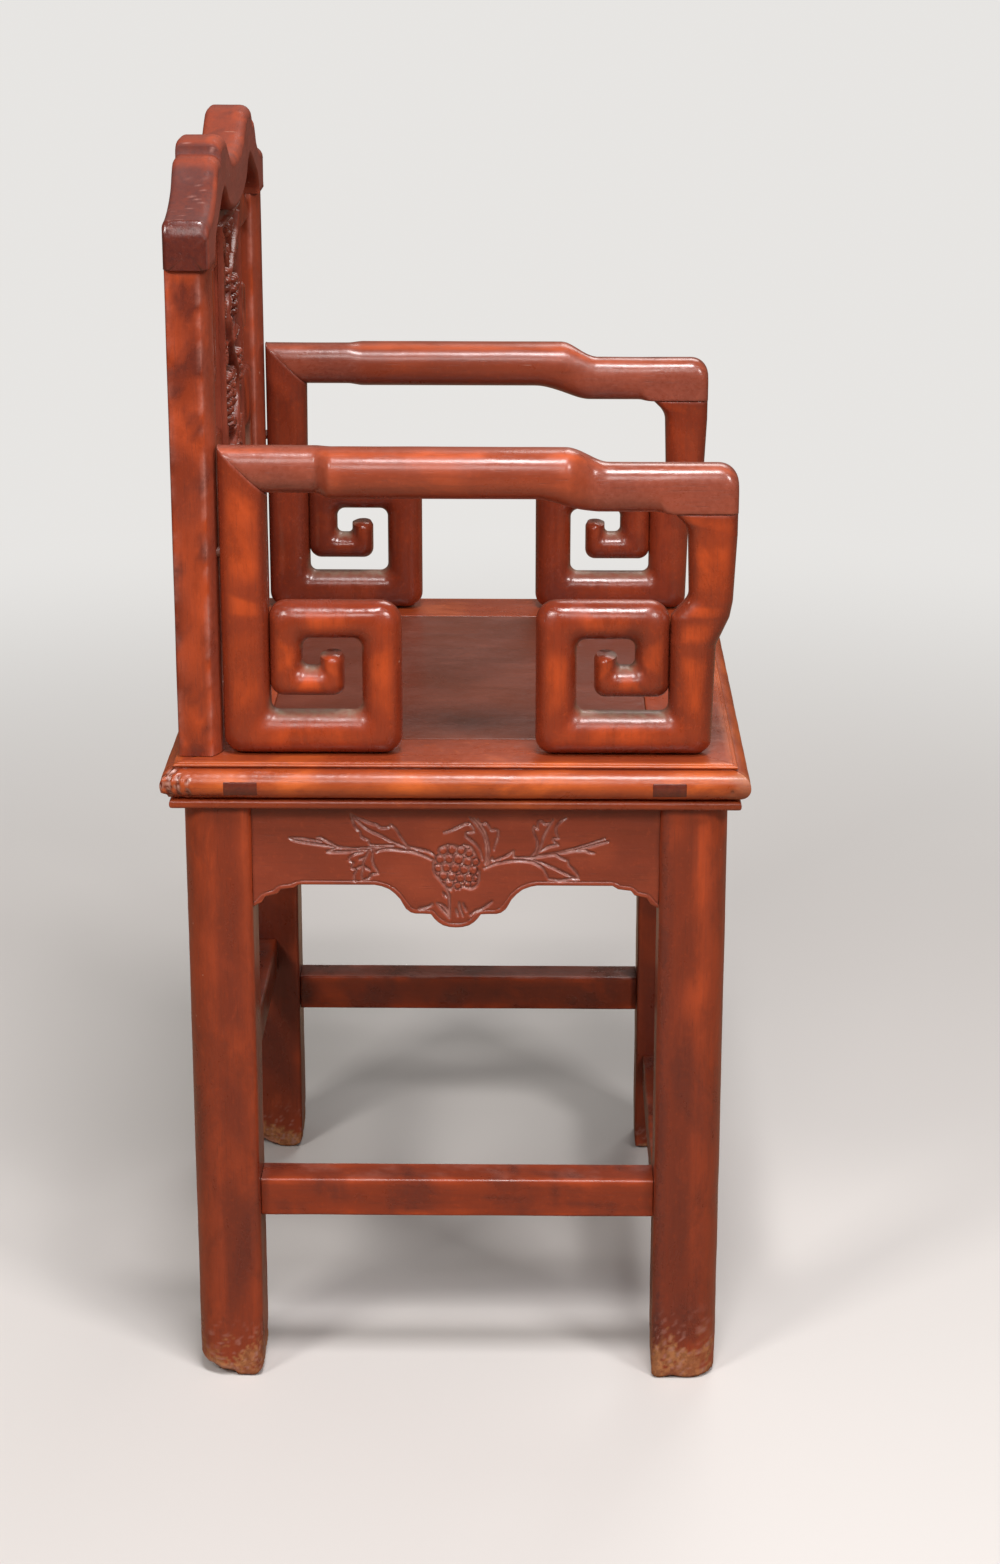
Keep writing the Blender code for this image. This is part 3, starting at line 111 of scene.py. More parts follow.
def surroundings():
    """The world: the backdrop's colour to the camera, a warm dim one to reflections, and a low even fill."""
    world = bpy.data.worlds.new("surroundings")
    world.use_nodes = True
    air = Nodes(world.node_tree)
    air.tree.nodes.clear()
    ray = air.add("LightPath").outputs
    pale = air.add("Background", Color=BACKDROP, Strength=1.0)
    fill = air.add("Background", Color=FILL_COLOUR, Strength=FILL_STRENGTH)
    mirrored = air.add("Background", Color=MIRRORED_COLOUR, Strength=MIRRORED_STRENGTH)
    bounce = air.add("MixShader", i0=ray["Is Glossy Ray"], i1=fill.outputs[0], i2=mirrored.outputs[0])
    choice = air.add("MixShader", i0=ray["Is Camera Ray"], i1=bounce.outputs[0], i2=pale.outputs[0])
    air.add("OutputWorld", Surface=choice.outputs[0])
    return world


def floor_paint():
    """Matt paint: pale to the camera and warmer to reflections. With the distance from the chair it fades
    into the backdrop's colour, in a smooth step, for the camera alone."""
    paint = bpy.data.materials.new("floor_paint")
    paint.use_nodes = True
    coat = Nodes(paint.node_tree)
    shader = coat.tree.nodes["Principled BSDF"]
    seen = coat.add("LightPath").outputs["Is Camera Ray"]
    colour = coat.add("Mix", {"data_type": "RGBA"}, i0=seen, i6=WARM_FLOOR, i7=PALE_FLOOR)
    coat.join(colour.outputs[2], shader.inputs["Base Color"])
    coat.join(FLOOR_ROUGHNESS, shader.inputs["Roughness"])
    place = coat.add("TexCoord").outputs["Object"]
    away = coat.add("VectorMath", {"operation": "LENGTH"}, i0=place).outputs["Value"]
    fade = coat.add("MapRange", {"interpolation_type": "SMOOTHSTEP"}, i0=away, i1=FADE_START, i2=FADE_END)
    seen_far = coat.add("Math", {"operation": "MULTIPLY"}, i0=fade.outputs[0], i1=seen)
    glow = coat.add("Emission", Color=BACKDROP)
    blend = coat.add("MixShader", i0=seen_far.outputs[0], i1=shader.outputs[0], i2=glow.outputs[0])
    coat.join(blend.outputs[0], coat.tree.nodes["Material Output"].inputs["Surface"])
    return paint


camera = bpy.data.objects.new("camera", bpy.data.cameras.new("camera"))
camera.matrix_world = camera_matrix()
camera.data.sensor_width = SENSOR
camera.data.lens = FOCAL_PIXELS / PICTURE_PIXELS_HIGH * SENSOR
bpy.context.scene.collection.objects.link(camera)
bpy.context.scene.camera = camera
bpy.context.scene.view_settings.view_transform = "Standard"
bpy.context.scene.world = surroundings()
for lamp_values in LAMPS:
    soft_lamp(*lamp_values)

floor_mesh = bpy.data.meshes.new("floor")
floor_corners = [(x * FLOOR_REACH, y * FLOOR_REACH, 0) for x, y in ((-1, -1), (1, -1), (1, 1), (-1, 1))]
floor_mesh.from_pydata(floor_corners, [], [(0, 1, 2, 3)])
floor_mesh.materials.append(floor_paint())
floor = bpy.data.objects.new("floor", floor_mesh)
bpy.context.scene.collection.objects.link(floor)

# The four legs
# Hardwood posts, round on the outer corner, tenoned up into the seat frame and lacquered reddish brown. The
# lowest part of each is worn to bare wood, and the rear feet are chipped, so that they stand on a strip.
LEG_OUT_X, LEG_IN_X = 0.2375, 0.1875
LEG_OUT_Y, LEG_IN_Y = 0.200, 0.150
LEG_TOP = 0.4657
LEG_OUTER_ROUND, LEG_SIDE_ROUND, LEG_INNER_ROUND = 0.021, 0.006, 0.0025
LEG_SPACING = 0.002
FOOT_EASE, FOOT_FINE, FOOT_BLEND = 0.003, 0.012, 0.060
FOOT_CHIP, FOOT_CRUMB = 0.0035, 0.0012
FOOT_WORN_BACK, FOOT_GOUGED = 0.0006, 0.0014
CHIP_PROFILE = (
    (0.150, 0.007), (0.153, 0.003), (0.157, 0), (0.170, 0),
    (0.174, 0.004), (0.180, 0.0065), (0.188, 0.009), (0.200, 0.0125))
SOLE_SHARES = np.array([0.12, 0.35, 0.6, 0.8, 0.93])
LEG_ROWS = np.concatenate([
    np.linspace(0, FOOT_FINE, 13)[:-1],
    np.linspace(FOOT_FINE, FOOT_BLEND, 25)[:-1],
    np.linspace(FOOT_BLEND, LEG_TOP, 90)])
CORNER_FADE, LEAST_CORNER = 0.003, 0.0004
UP = np.array((0, 0, 1.0))

# The lacquer: its ground, its worn orange coat and its shaded grain, then what lies on it or shows through.
# The stain colour also lays painted shade, and the chalk colour also lays painted sheen and painted
# highlights.
GROUND, WORN, SHADE = (0.240, 0.033, 0.0095), (0.500, 0.066, 0.009), (0.110, 0.022, 0.011)
STAIN_AND_SHADE, DUST, CHALK_AND_SHEEN = (0.074, 0.018, 0.015), (0.215, 0.160, 0.110), (0.47, 0.24, 0.20)
SPECK, BARE = (0.60, 0.36, 0.27), (0.50, 0.215, 0.078)
BARE_VEIN = tuple(0.58 * value for value in BARE)
MARKS = ("wear", "bare", "dust", "dark", "chalk")

# Its patterns: each one's noise per metre, detail, roughness and bend, and how far the grain draws them out.
BROAD, PATCHES, BANDS = (9.0, 5.0, 0.60, 0.0), (34.0, 6.0, 0.66, 0.4), (75.0, 3.0, 0.50, 0.0)
STREAKS, PORES = (330.0, 4.0, 0.60, 0.0), (1100.0, 2.0, 0.50, 0.0)
MOTTLE, WAVES = (240.0, 4.0, 0.65, 0.0), (75.0, 3.0, 0.55, 0.0)
CALM_STRETCH, FINE_STRETCH, SCRATCH_STRETCH = 0.45, 0.05, 0.07
SPECKS_PER_METRE, SCRATCHES_PER_METRE = 85.0, 60.0
SCRATCH_TURNS = ((0.5, 0.2, 0.7), (-0.7, 0.9, 0.2))
COAT_ROUGHNESS, BUMP_STRENGTH, BUMP_HEIGHT = 0.20, 0.55, 0.0008


class Recipe(Nodes):
    """The nodes of one material, with the patterns and sums that a finish is mixed from."""

    def __init__(self, name):
        self.material = bpy.data.materials.new(name)
        self.material.use_nodes = True
        super().__init__(self.material.node_tree)
        self.shader = self.tree.nodes["Principled BSDF"]
        self.place = self.add("TexCoord").outputs["Object"]

    def spread(self, scale, shift, turn=(0, 0, 0)):
        """Object coordinates, stretched along the axes by a scale, then turned and shifted."""
        return self.add("Mapping", Vector=self.place, Scale=scale, Rotation=turn, Location=shift).outputs[0]

    def noise(self, where, scale, detail, rough, bend):
        """Cloudy noise from 0 to 1."""
        return self.add(
            "TexNoise", Vector=where, Scale=scale, Detail=detail, Roughness=rough, Distortion=bend).outputs[0]

    def cells(self, where, scale):
        """Scattered cells: the distance to the nearest cell's middle, and two random values of that cell."""
        spots = self.add("TexVoronoi", {"feature": "F1"}, Vector=where, Scale=scale, Randomness=1.0)
        chance = self.add("SeparateColor", Color=spots.outputs["Color"])
        return spots.outputs["Distance"], chance.outputs[0], chance.outputs[1]

    def step(self, value, low, high, start=0.0, end=1.0):
        """A smooth rise from start to end as the value goes from low to high."""
        smooth = {"interpolation_type": "SMOOTHSTEP"}
        return self.add("MapRange", smooth, i0=value, i1=low, i2=high, i3=start, i4=end).outputs[0]

    def math(self, work, first, second, clamp=False):
        """One sum on two values."""
        return self.add("Math", {"operation": work, "use_clamp": clamp}, i0=first, i1=second).outputs[0]

    def times(self, first, second):
        """The product of two values."""
        return self.math("MULTIPLY", first, second)

    def mix(self, share, first, second):
        """One colour laid over another by a share."""
        first, second = (
            colour if isinstance(colour, bpy.types.NodeSocket) else (*colour, 1)
            for colour in (first, second))
        return self.add("Mix", {"data_type": "RGBA"}, i0=share, i6=first, i7=second).outputs[2]

    def painted(self, name):
        """A value that the piece's mesh carries at its points."""
        return self.add("Attribute", {"attribute_name": name}).outputs["Fac"]


def lacquer(name, grain, shift, ground=GROUND, worn=WORN, shade=SHADE, gloss=0.27, specular=0.50, coat=0.20,
            shine=0.15, polish=0.0):
    """Old lacquer on hardwood, each colour laid over the last by a share. Broad clouds darken the ground;
    the mesh's wear and smaller clouds show the worn coat; streaks and pores follow the grain's axis; dark
    (real stain and painted shade), bare, dust and chalk (chalky rubbing, painted sheen and painted
    highlights) come from the mesh; pale specks and short scratches lie over the lacquer. Gloss is its least
    roughness, shine what the dark mark takes off that, and polish what the darkest places lose."""
    r = Recipe(name)
    moved = (shift, shift * 1.7, shift * 0.6)
    even = r.spread((1, 1, 1), moved)
    calm = r.spread(tuple(CALM_STRETCH if axis == grain else 1 for axis in "XYZ"), moved)
    fine = r.spread(tuple(FINE_STRETCH if axis == grain else 1 for axis in "XYZ"), moved)
    patches, streaks = r.noise(calm, *PATCHES), r.noise(fine, *STREAKS)
    pores, mottle = r.noise(fine, *PORES), r.noise(even, *MOTTLE)
    wear, bare, dust, dark, chalk = (r.painted(key) for key in MARKS)

    # The lacquer itself: ground, clouds, worn coat and grain.
    colour = r.mix(r.step(r.noise(calm, *BROAD), 0.32, 0.62, 0.42, 0.0), ground, shade)
    colour = r.mix(r.step(r.noise(fine, *BANDS), 0.50, 0.78, 0.0, 0.20), colour, shade)
    rubbed = r.times(wear, r.step(patches, 0.34, 0.60, 0.22, 1.0))
    clouds = r.step(patches, 0.54, 0.70, 0.0, 0.30)
    colour = r.mix(r.math("MAXIMUM", rubbed, clouds, True), colour, worn)
    colour = r.mix(r.step(streaks, 0.46, 0.72, 0.0, 0.20), colour, shade)
    colour = r.mix(r.step(pores, 0.60, 0.74, 0.0, 0.30), colour, shade)
    colour = r.mix(r.step(mottle, 0.54, 0.74, 0.0, 0.25), colour, worn)
    # The mesh's dark value lays real stain and also painted shade.
    colour = r.mix(r.times(dark, r.step(mottle, 0.25, 0.60, 1.0, 0.75)), colour, STAIN_AND_SHADE)

    # Specks in a few of the scattered cells, and two sets of scratches drawn where long cells have middles.
    away, chosen, strength = r.cells(even, SPECKS_PER_METRE)
    specks = r.times(r.step(chosen, 0.86, 0.90), r.step(away, 0.05, 0.09, 1.0, 0.0))
    colour = r.mix(r.times(specks, r.step(strength, 0.2, 0.9, 0.2, 0.75)), colour, SPECK)
    scratched = 0.0
    for turn in SCRATCH_TURNS:
        away, chosen, _ = r.cells(r.spread((1, SCRATCH_STRETCH, 1), moved, turn), SCRATCHES_PER_METRE)
        drawn = r.times(r.step(away, 0.010, 0.030, 1.0, 0.0), r.step(chosen, 0.72, 0.80))
        scratched = r.math("MAXIMUM", scratched, drawn)
    colour = r.mix(r.times(scratched, 0.42), colour, SPECK)

    # What the mesh says: bare wood, dust, and chalky rubbing together with painted sheen and painted
    # highlights.
    wood = r.mix(r.step(mottle, 0.40, 0.60), BARE, BARE_VEIN)
    colour = r.mix(r.times(bare, r.step(patches, 0.38, 0.58, 0.45, 1.0)), colour, wood)
    colour = r.mix(r.times(dust, r.step(mottle, 0.30, 0.60, 0.45, 0.95)), colour, DUST)
    colour = r.mix(r.times(chalk, r.step(mottle, 0.35, 0.60, 0.55, 1.0)), colour, CHALK_AND_SHEEN)
    r.join(colour, r.shader.inputs["Base Color"])

    # Roughness: duller where rubbed, bare or dusty, and glossier where dark.
    rough = r.math("ADD", r.step(patches, 0.32, 0.70, gloss - 0.02, gloss + 0.14), r.times(mottle, 0.08))
    rough = r.math("ADD", rough, r.times(rubbed, 0.10))
    rough = r.math("SUBTRACT", rough, r.times(dark, shine))
    rough = r.math("SUBTRACT", rough, r.step(dark, 0.955, 0.995, 0.0, polish))
    rough = r.math("ADD", rough, r.times(r.math("MAXIMUM", bare, dust), 0.4), True)
    r.join(rough, r.shader.inputs["Roughness"])
    r.join(specular, r.shader.inputs["Specular IOR Level"])
    r.join(coat, r.shader.inputs["Coat Weight"])
    r.join(COAT_ROUGHNESS, r.shader.inputs["Coat Roughness"])

    # Relief: brush marks and low waves, with scratches and pores sunk in.
    height = r.math("ADD", r.times(streaks, 0.14), r.times(r.noise(even, *WAVES), 0.9))
    height = r.math("ADD", height, r.times(mottle, 0.25))
    height = r.math("SUBTRACT", height, r.times(scratched, 0.25))
    height = r.math("SUBTRACT", height, r.times(r.step(pores, 0.60, 0.75), 0.15))
    bump = r.add("Bump", Height=height, Strength=BUMP_STRENGTH, Distance=BUMP_HEIGHT)
    r.join(bump.outputs[0], r.shader.inputs["Normal"])
    return r.material


def ripple(points, size, seed):
    """Unevenness left by hand tools: the mean of eight sine waves about size metres long that cross the
    points in random directions."""
    chance = np.random.default_rng(seed)
    ways = chance.normal(size=(3, 8))
    ways *= chance.uniform(0.7, 1.7, 8) * 2 * np.pi / size / np.linalg.norm(ways, axis=0)
    return np.sin(np.asarray(points) @ ways + chance.uniform(0, 2 * np.pi, 8)).mean(-1)


def rise(value, low, high):
    """Smooth step from 0 to 1 between two values, as a cubic."""
    share = np.clip((np.asarray(value, float) - low) / (high - low), 0, 1)
    return share * share * (3 - 2 * share)


def fall(value, low, high):
    """Smooth step from 1 to 0 between two values."""
    return 1 - rise(value, low, high)


def bell(value, middle, width):
    """A bell curve of height 1 about a middle."""
    return np.exp(-((value - middle) / width) ** 2)


def end_round(left, reach, power=2.0):
    """How far a section has drawn in, from 0 to 1, at a distance left from its end: nothing as far off as the
    reach, and from there along a quarter round. A lower power makes the round flatter."""
    near = 1 - np.clip(left / reach, 0, 1)
    return 1 - (1 - near ** power) ** (1 / power)


def corner_arc(before, spot, after, radius, steps):
    """Points of the arc that rounds the corner at a spot between two others: the weighted curve through its
    ends whose weight, the cosine of half the turn, makes it a true circle."""
    back, onward = before - spot, after - spot
    back, onward = back / np.linalg.norm(back), onward / np.linalg.norm(onward)
    half_angle = math.acos(float(np.clip(back @ onward, -1, 1))) / 2
    reach = max(radius / math.tan(half_angle), LEAST_CORNER)
    share = np.linspace(0, 1, steps)[:, None]
    start, middle, end = (1 - share) ** 2, 2 * share * (1 - share) * math.sin(half_angle), share ** 2
    curve = start * (spot + back * reach) + middle * spot + end * (spot + onward * reach)
    return curve / (start + middle + end)


def outline(corners, arc_steps=6, spacing=0.004, spans=None):
    """Closed outline of a polygon whose corners (u, v, round) are rounded by tangent arcs, with points at an
    even spacing on its straights, or a set number of spans. Returns the points and how near each is to a
    rounded corner, 1 to 0."""
    spots = np.array([corner[:2] for corner in corners], float)
    neighbours = zip(np.roll(spots, 1, 0), spots, np.roll(spots, -1, 0), corners)
    arcs = [corner_arc(before, spot, after, corner[2], arc_steps + 1)
            for before, spot, after, corner in neighbours]
    points, nearness = [], []
    for arc, following in zip(arcs, arcs[1:] + arcs[:1]):
        run = following[0] - arc[-1]
        length = np.linalg.norm(run)
        shares = np.linspace(0, 1, (spans or max(int(length / spacing), 2)) + 1)[1:-1]
        points += [arc, arc[-1] + run * shares[:, None]]
        nearness += [np.ones(arc_steps + 1), np.exp(-np.minimum(shares, 1 - shares) * length / CORNER_FADE)]
    return np.concatenate(points), np.concatenate(nearness)


def sideways(loop):
    """Unit normals of a closed outline, in its plane, pointing away from its middle."""
    along = np.roll(loop, -1, 0) - np.roll(loop, 1, 0)
    normals = np.stack([along[:, 1], -along[:, 0]], 1) / np.linalg.norm(along, axis=1)[:, None]
    area = (loop[:, 0] * np.roll(loop[:, 1], -1) - loop[:, 1] * np.roll(loop[:, 0], -1)).sum()
    return normals * np.sign(area)


def standing(plan, heights):
    """Rings from flat outlines, plan[i, j], each lifted to its height."""
    return np.concatenate([plan, np.broadcast_to(heights[:, None, None], (*plan.shape[:2], 1))], -1)


def shell(rings, loop=False, **painted):
    """One closed surface from rings[i, j], point j of the section at station i. The section closes on itself;
    the ends are closed by a fan to their middle, unless the stations close in a loop. Its faces are turned
    round if the volume that they enclose comes out negative."""
    rings = np.asarray(rings, float)
    stations, around = rings.shape[:2]
    row = np.arange(stations if loop else stations - 1)[:, None] * around
    column = np.arange(around)[None, :]
    beside, below = (column + 1) % around, (row + around) % (stations * around)
    quads = np.stack([row + column, row + beside, below + beside, below + column], -1).reshape(-1, 4)
    points = rings.reshape(-1, 3)
    values = {key: np.broadcast_to(value, (stations, around)).reshape(-1) for key, value in painted.items()}
    triangles = np.zeros((0, 3), int)
    if not loop:
        total = stations * around
        first, last = np.arange(around), total - around + np.arange(around)
        triangles = np.concatenate([
            np.stack([np.full(around, total), np.roll(first, -1), first], 1),
            np.stack([np.full(around, total + 1), last, np.roll(last, -1)], 1)])
        points = np.concatenate([points, rings[:1].mean(1), rings[-1:].mean(1)])
        values = {key: np.append(value, [value[:around].mean(), value[-around:].mean()])
                  for key, value in values.items()}
    corners = points[np.concatenate([quads[:, [0, 1, 2]], quads[:, [0, 2, 3]], triangles])]
    if np.einsum("ij,ij->i", corners[:, 0], np.cross(corners[:, 1], corners[:, 2])).sum() < 0:
        quads, triangles = quads[:, ::-1], triangles[:, ::-1]
    return points, quads, triangles, values


def piece(name, shells, finish, sharp=38):
    """Makes one object from closed surfaces, paints its values at its points, gives it its finish, sets it to
    ride on the chair, and lets it stand for the CAD node of its name. Sharp is the angle of a crease."""
    offset, points, quads, triangles = 0, [], [], []
    painted = {key: [] for key in MARKS}
    for surface, fours, threes, values in shells:
        points.append(surface)
        quads.append(fours + offset)
        triangles.append(threes + offset)
        for key, store in painted.items():
            store.append(np.asarray(values.get(key, np.zeros(len(surface))), np.float32))
        offset += len(surface)
    points, quads, triangles = np.concatenate(points), np.concatenate(quads), np.concatenate(triangles)
    mesh = bpy.data.meshes.new(name)
    mesh.vertices.add(len(points))
    mesh.vertices.foreach_set("co", points.astype(np.float32).ravel())
    mesh.loops.add(quads.size + triangles.size)
    corners = np.concatenate([quads.ravel(), triangles.ravel()])
    mesh.loops.foreach_set("vertex_index", corners.astype(np.int32))
    mesh.polygons.add(len(quads) + len(triangles))
    starts = np.concatenate([np.arange(len(quads)) * 4, quads.size + np.arange(len(triangles)) * 3])
    mesh.polygons.foreach_set("loop_start", starts.astype(np.int32))
    mesh.polygons.foreach_set("use_smooth", np.ones(len(starts), bool))
    mesh.update(calc_edges=True)
    mesh.validate()
    mesh.set_sharp_from_angle(angle=math.radians(sharp))
    for key, store in painted.items():
        values = np.clip(np.concatenate(store), 0, 1)
        mesh.attributes.new(key, "FLOAT", "POINT").data.foreach_set("value", values)
    mesh.materials.append(finish)
    made = bpy.data.objects.new(name + "_finished", mesh)
    bpy.context.scene.collection.objects.link(made)
    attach(made, "root")
    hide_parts(name)


def leg_marks(rings, height, under, near_corner, end, worn_height, seed):
    """A leg's wear on its rounded corners and low down, bare wood with a ragged edge at its foot, darkening
    towards the bottom, painted shade beside its apron, and pale flecks above the bare wood."""
    ragged = worn_height * (0.9 + 1.2 * ripple(rings, 0.03, seed + 5) + 1.1 * ripple(rings, 0.006, seed + 6))
    broken_rim = rise(under, 0.001, 0.003) * fall(height, 0.002, 0.0065)
    broken_rim *= 0.75 + 0.5 * ripple(rings, 0.006, seed + 9)
    sole = (np.arange(len(rings)) < len(SOLE_SHARES))[:, None]
    bare = np.maximum(np.maximum(0.85 * rise(ragged - height, -0.002, 0.012), broken_rim), sole)
    wear = near_corner[None] * (0.55 + 0.45 * rise(height, 0.37, 0.45)) + 0.5 * fall(height, 0.02, 0.10)
    wear += 0.6 * rise(ripple(rings, 0.07, seed + 7), 0.1, 0.45)
    blotches = rise(ripple(rings * (1, 1, 0.35), 0.045, seed + 8), 0.05, 0.5)
    dark = 0.06 + 0.22 * fall(height, 0.10, 0.42) + 0.35 * blotches
    # Painted shade on the side of the outer face that turns towards the apron, strongest on the front legs.
    shaded_beside_apron = fall(np.abs(rings[..., 1]), LEG_IN_Y + 0.004, LEG_IN_Y + 0.014)
    shaded_beside_apron *= rise(np.abs(rings[..., 0]), LEG_OUT_X - 0.008, LEG_OUT_X)
    above_bare = rise(height, worn_height * 0.8, worn_height * 1.3)
    above_bare *= fall(height, worn_height * 1.6, worn_height * 3.2)
    is_front = end < 0
    dark = np.maximum(dark, shaded_beside_apron * (0.80 if is_front else 0.24)) + 0.28 * above_bare * is_front
    flecks = ripple(rings * (1, 1, 0.6), 0.0042, seed + 10) + 0.35 * ripple(rings, 0.012, seed + 11)
    flecks = rise(flecks, 0.24, 0.38) * fall(height, worn_height * 0.8, worn_height * 2.4)
    return {"wear": wear, "bare": bare, "dark": dark, "chalk": np.maximum(flecks * 0.55, broken_rim * 0.60)}


def leg(side, end, foot, worn_height, seed):
    """A leg: its outline carried upward. The foot's underside is a height over the floor at every point,
    and it fades out upward; close to the floor the outline draws in as a quarter round."""
    loop, near_corner = outline([
        (side * LEG_OUT_X, end * LEG_OUT_Y, LEG_OUTER_ROUND),
        (side * LEG_IN_X, end * LEG_OUT_Y, LEG_SIDE_ROUND),
        (side * LEG_IN_X, end * LEG_IN_Y, LEG_INNER_ROUND),
        (side * LEG_OUT_X, end * LEG_IN_Y, LEG_SIDE_ROUND)], 8, LEG_SPACING)
    normals = sideways(loop)
    plan = loop[None] - normals[None] * (FOOT_EASE * end_round(LEG_ROWS, FOOT_EASE))[:, None, None]
    middle = loop.mean(0)
    plan = np.concatenate([middle + (plan[0] - middle) * SOLE_SHARES[:, None, None], plan])
    rings = standing(plan, np.concatenate([SOLE_SHARES * 0, LEG_ROWS]))
    under = foot(rings[..., 0], rings[..., 1])
    fade = np.clip(1 - rings[..., 2] / FOOT_BLEND, 0, 1) ** 1.5
    flat = rings * (1, 1, 0)
    chips = FOOT_CHIP * np.abs(ripple(flat, 0.012, seed)) + FOOT_CRUMB * np.abs(ripple(flat, 0.004, seed + 1))
    chips *= rise(under, 0.0005, 0.004) * 0.7 + 0.35
    rings[..., 2] += (under + chips) * fade
    rings[..., 2] -= rings[..., 2].min() * fade
    dent = ripple(rings, 0.09, seed + 2) * 0.0003 + ripple(rings, 0.018, seed + 3) * 0.00012
    low_down = np.clip(1 - rings[..., 2] / 0.03, 0, 1)
    dent += low_down * (FOOT_WORN_BACK + FOOT_GOUGED * rise(ripple(rings, 0.016, seed + 4), 0.1, 0.5))
    rings[len(SOLE_SHARES):, :, :2] -= normals[None] * dent[len(SOLE_SHARES):, :, None]
    height = rings[..., 2] - (under + chips) * fade
    return shell(rings, **leg_marks(rings, height, under, near_corner, end, worn_height, seed))


def level_foot(x, y):
    """A foot that stands flat, with its edge a little up where it is worn."""
    return 0.0012 * rise(ripple(np.stack([x, y, y * 0], -1), 0.03, 5), 0.1, 0.5)


def chipped_foot(x, y):
    """A rear foot, broken away behind and at its front edge, so that it stands on a middle strip."""
    back = np.interp(y, *zip(*CHIP_PROFILE))
    return back * (0.8 + 0.5 * ripple(np.stack([x, y, y * 0], -1), 0.02, 9))


LEGS = (
    ("leg_front_right", -1, -1, level_foot, 0.030, 11),
    ("leg_rear_right", -1, 1, chipped_foot, 0.023, 23),
    ("leg_front_left", 1, -1, level_foot, 0.012, 37),
    ("leg_rear_left", 1, 1, chipped_foot, 0.022, 49))
leg_finish = lacquer("lacquer_legs", "Z", 1.3, ground=(0.225, 0.032, 0.0105), worn=(0.44, 0.062, 0.012))
for name, *leg_values in LEGS:
    piece(name, [leg(*leg_values)], leg_finish)

# The four aprons
# Boards tenoned into the legs under the seat, sawn below to a lobe between two shoulders, with a bead cut
# along the edge. A spray of fruit and serrated leaves is cut into each face by a small V gouge.
APRON_TOP, APRON_FLAT, APRON_THICKNESS = 0.4657, 0.4032, 0.018
APRON_FACE_X, APRON_FACE_Y = 0.2315, 0.194
SIDE_APRON_HALF, FRONT_APRON_HALF = 0.1497, 0.1872
APRON_STATION, APRON_ROWS = 0.00068, 104
APRON_LOWER_ROUND, APRON_UPPER_ROUND = 0.0016, 0.001
APRON_LOBE_DROP, APRON_WING = 0.0333, 0.060
APRON_END_DROP, APRON_END_REACH = 0.0175, 0.034
GOUGE_WIDTH, GOUGE_DEPTH = 0.00105, 0.00190
BEAD_INSET, BEAD_WIDTH, BEAD_DEPTH = 0.0034, 0.00055, 0.0006
MILLIMETRE = 0.001

# The sawn lower edge, as shares of the lobe's half width and drop, and of the end bracket's reach and drop.
APRON_WING_SHARES = (
    (0.0, 1.0), (0.08, 0.99), (0.16, 0.95), (0.225, 0.87), (0.27, 0.785), (0.307, 0.685), (0.40, 0.677),
    (0.50, 0.675), (0.558, 0.645), (0.617, 0.56), (0.653, 0.445), (0.685, 0.335), (0.747, 0.21), (0.82, 0.10),
    (0.917, 0.03), (1.0, 0.0))
APRON_END_SHARES = (
    (0.0, 0.0), (0.12, 0.15), (0.40, 0.22), (0.48, 0.42), (0.75, 0.55), (0.82, 0.80), (1.0, 1.0))

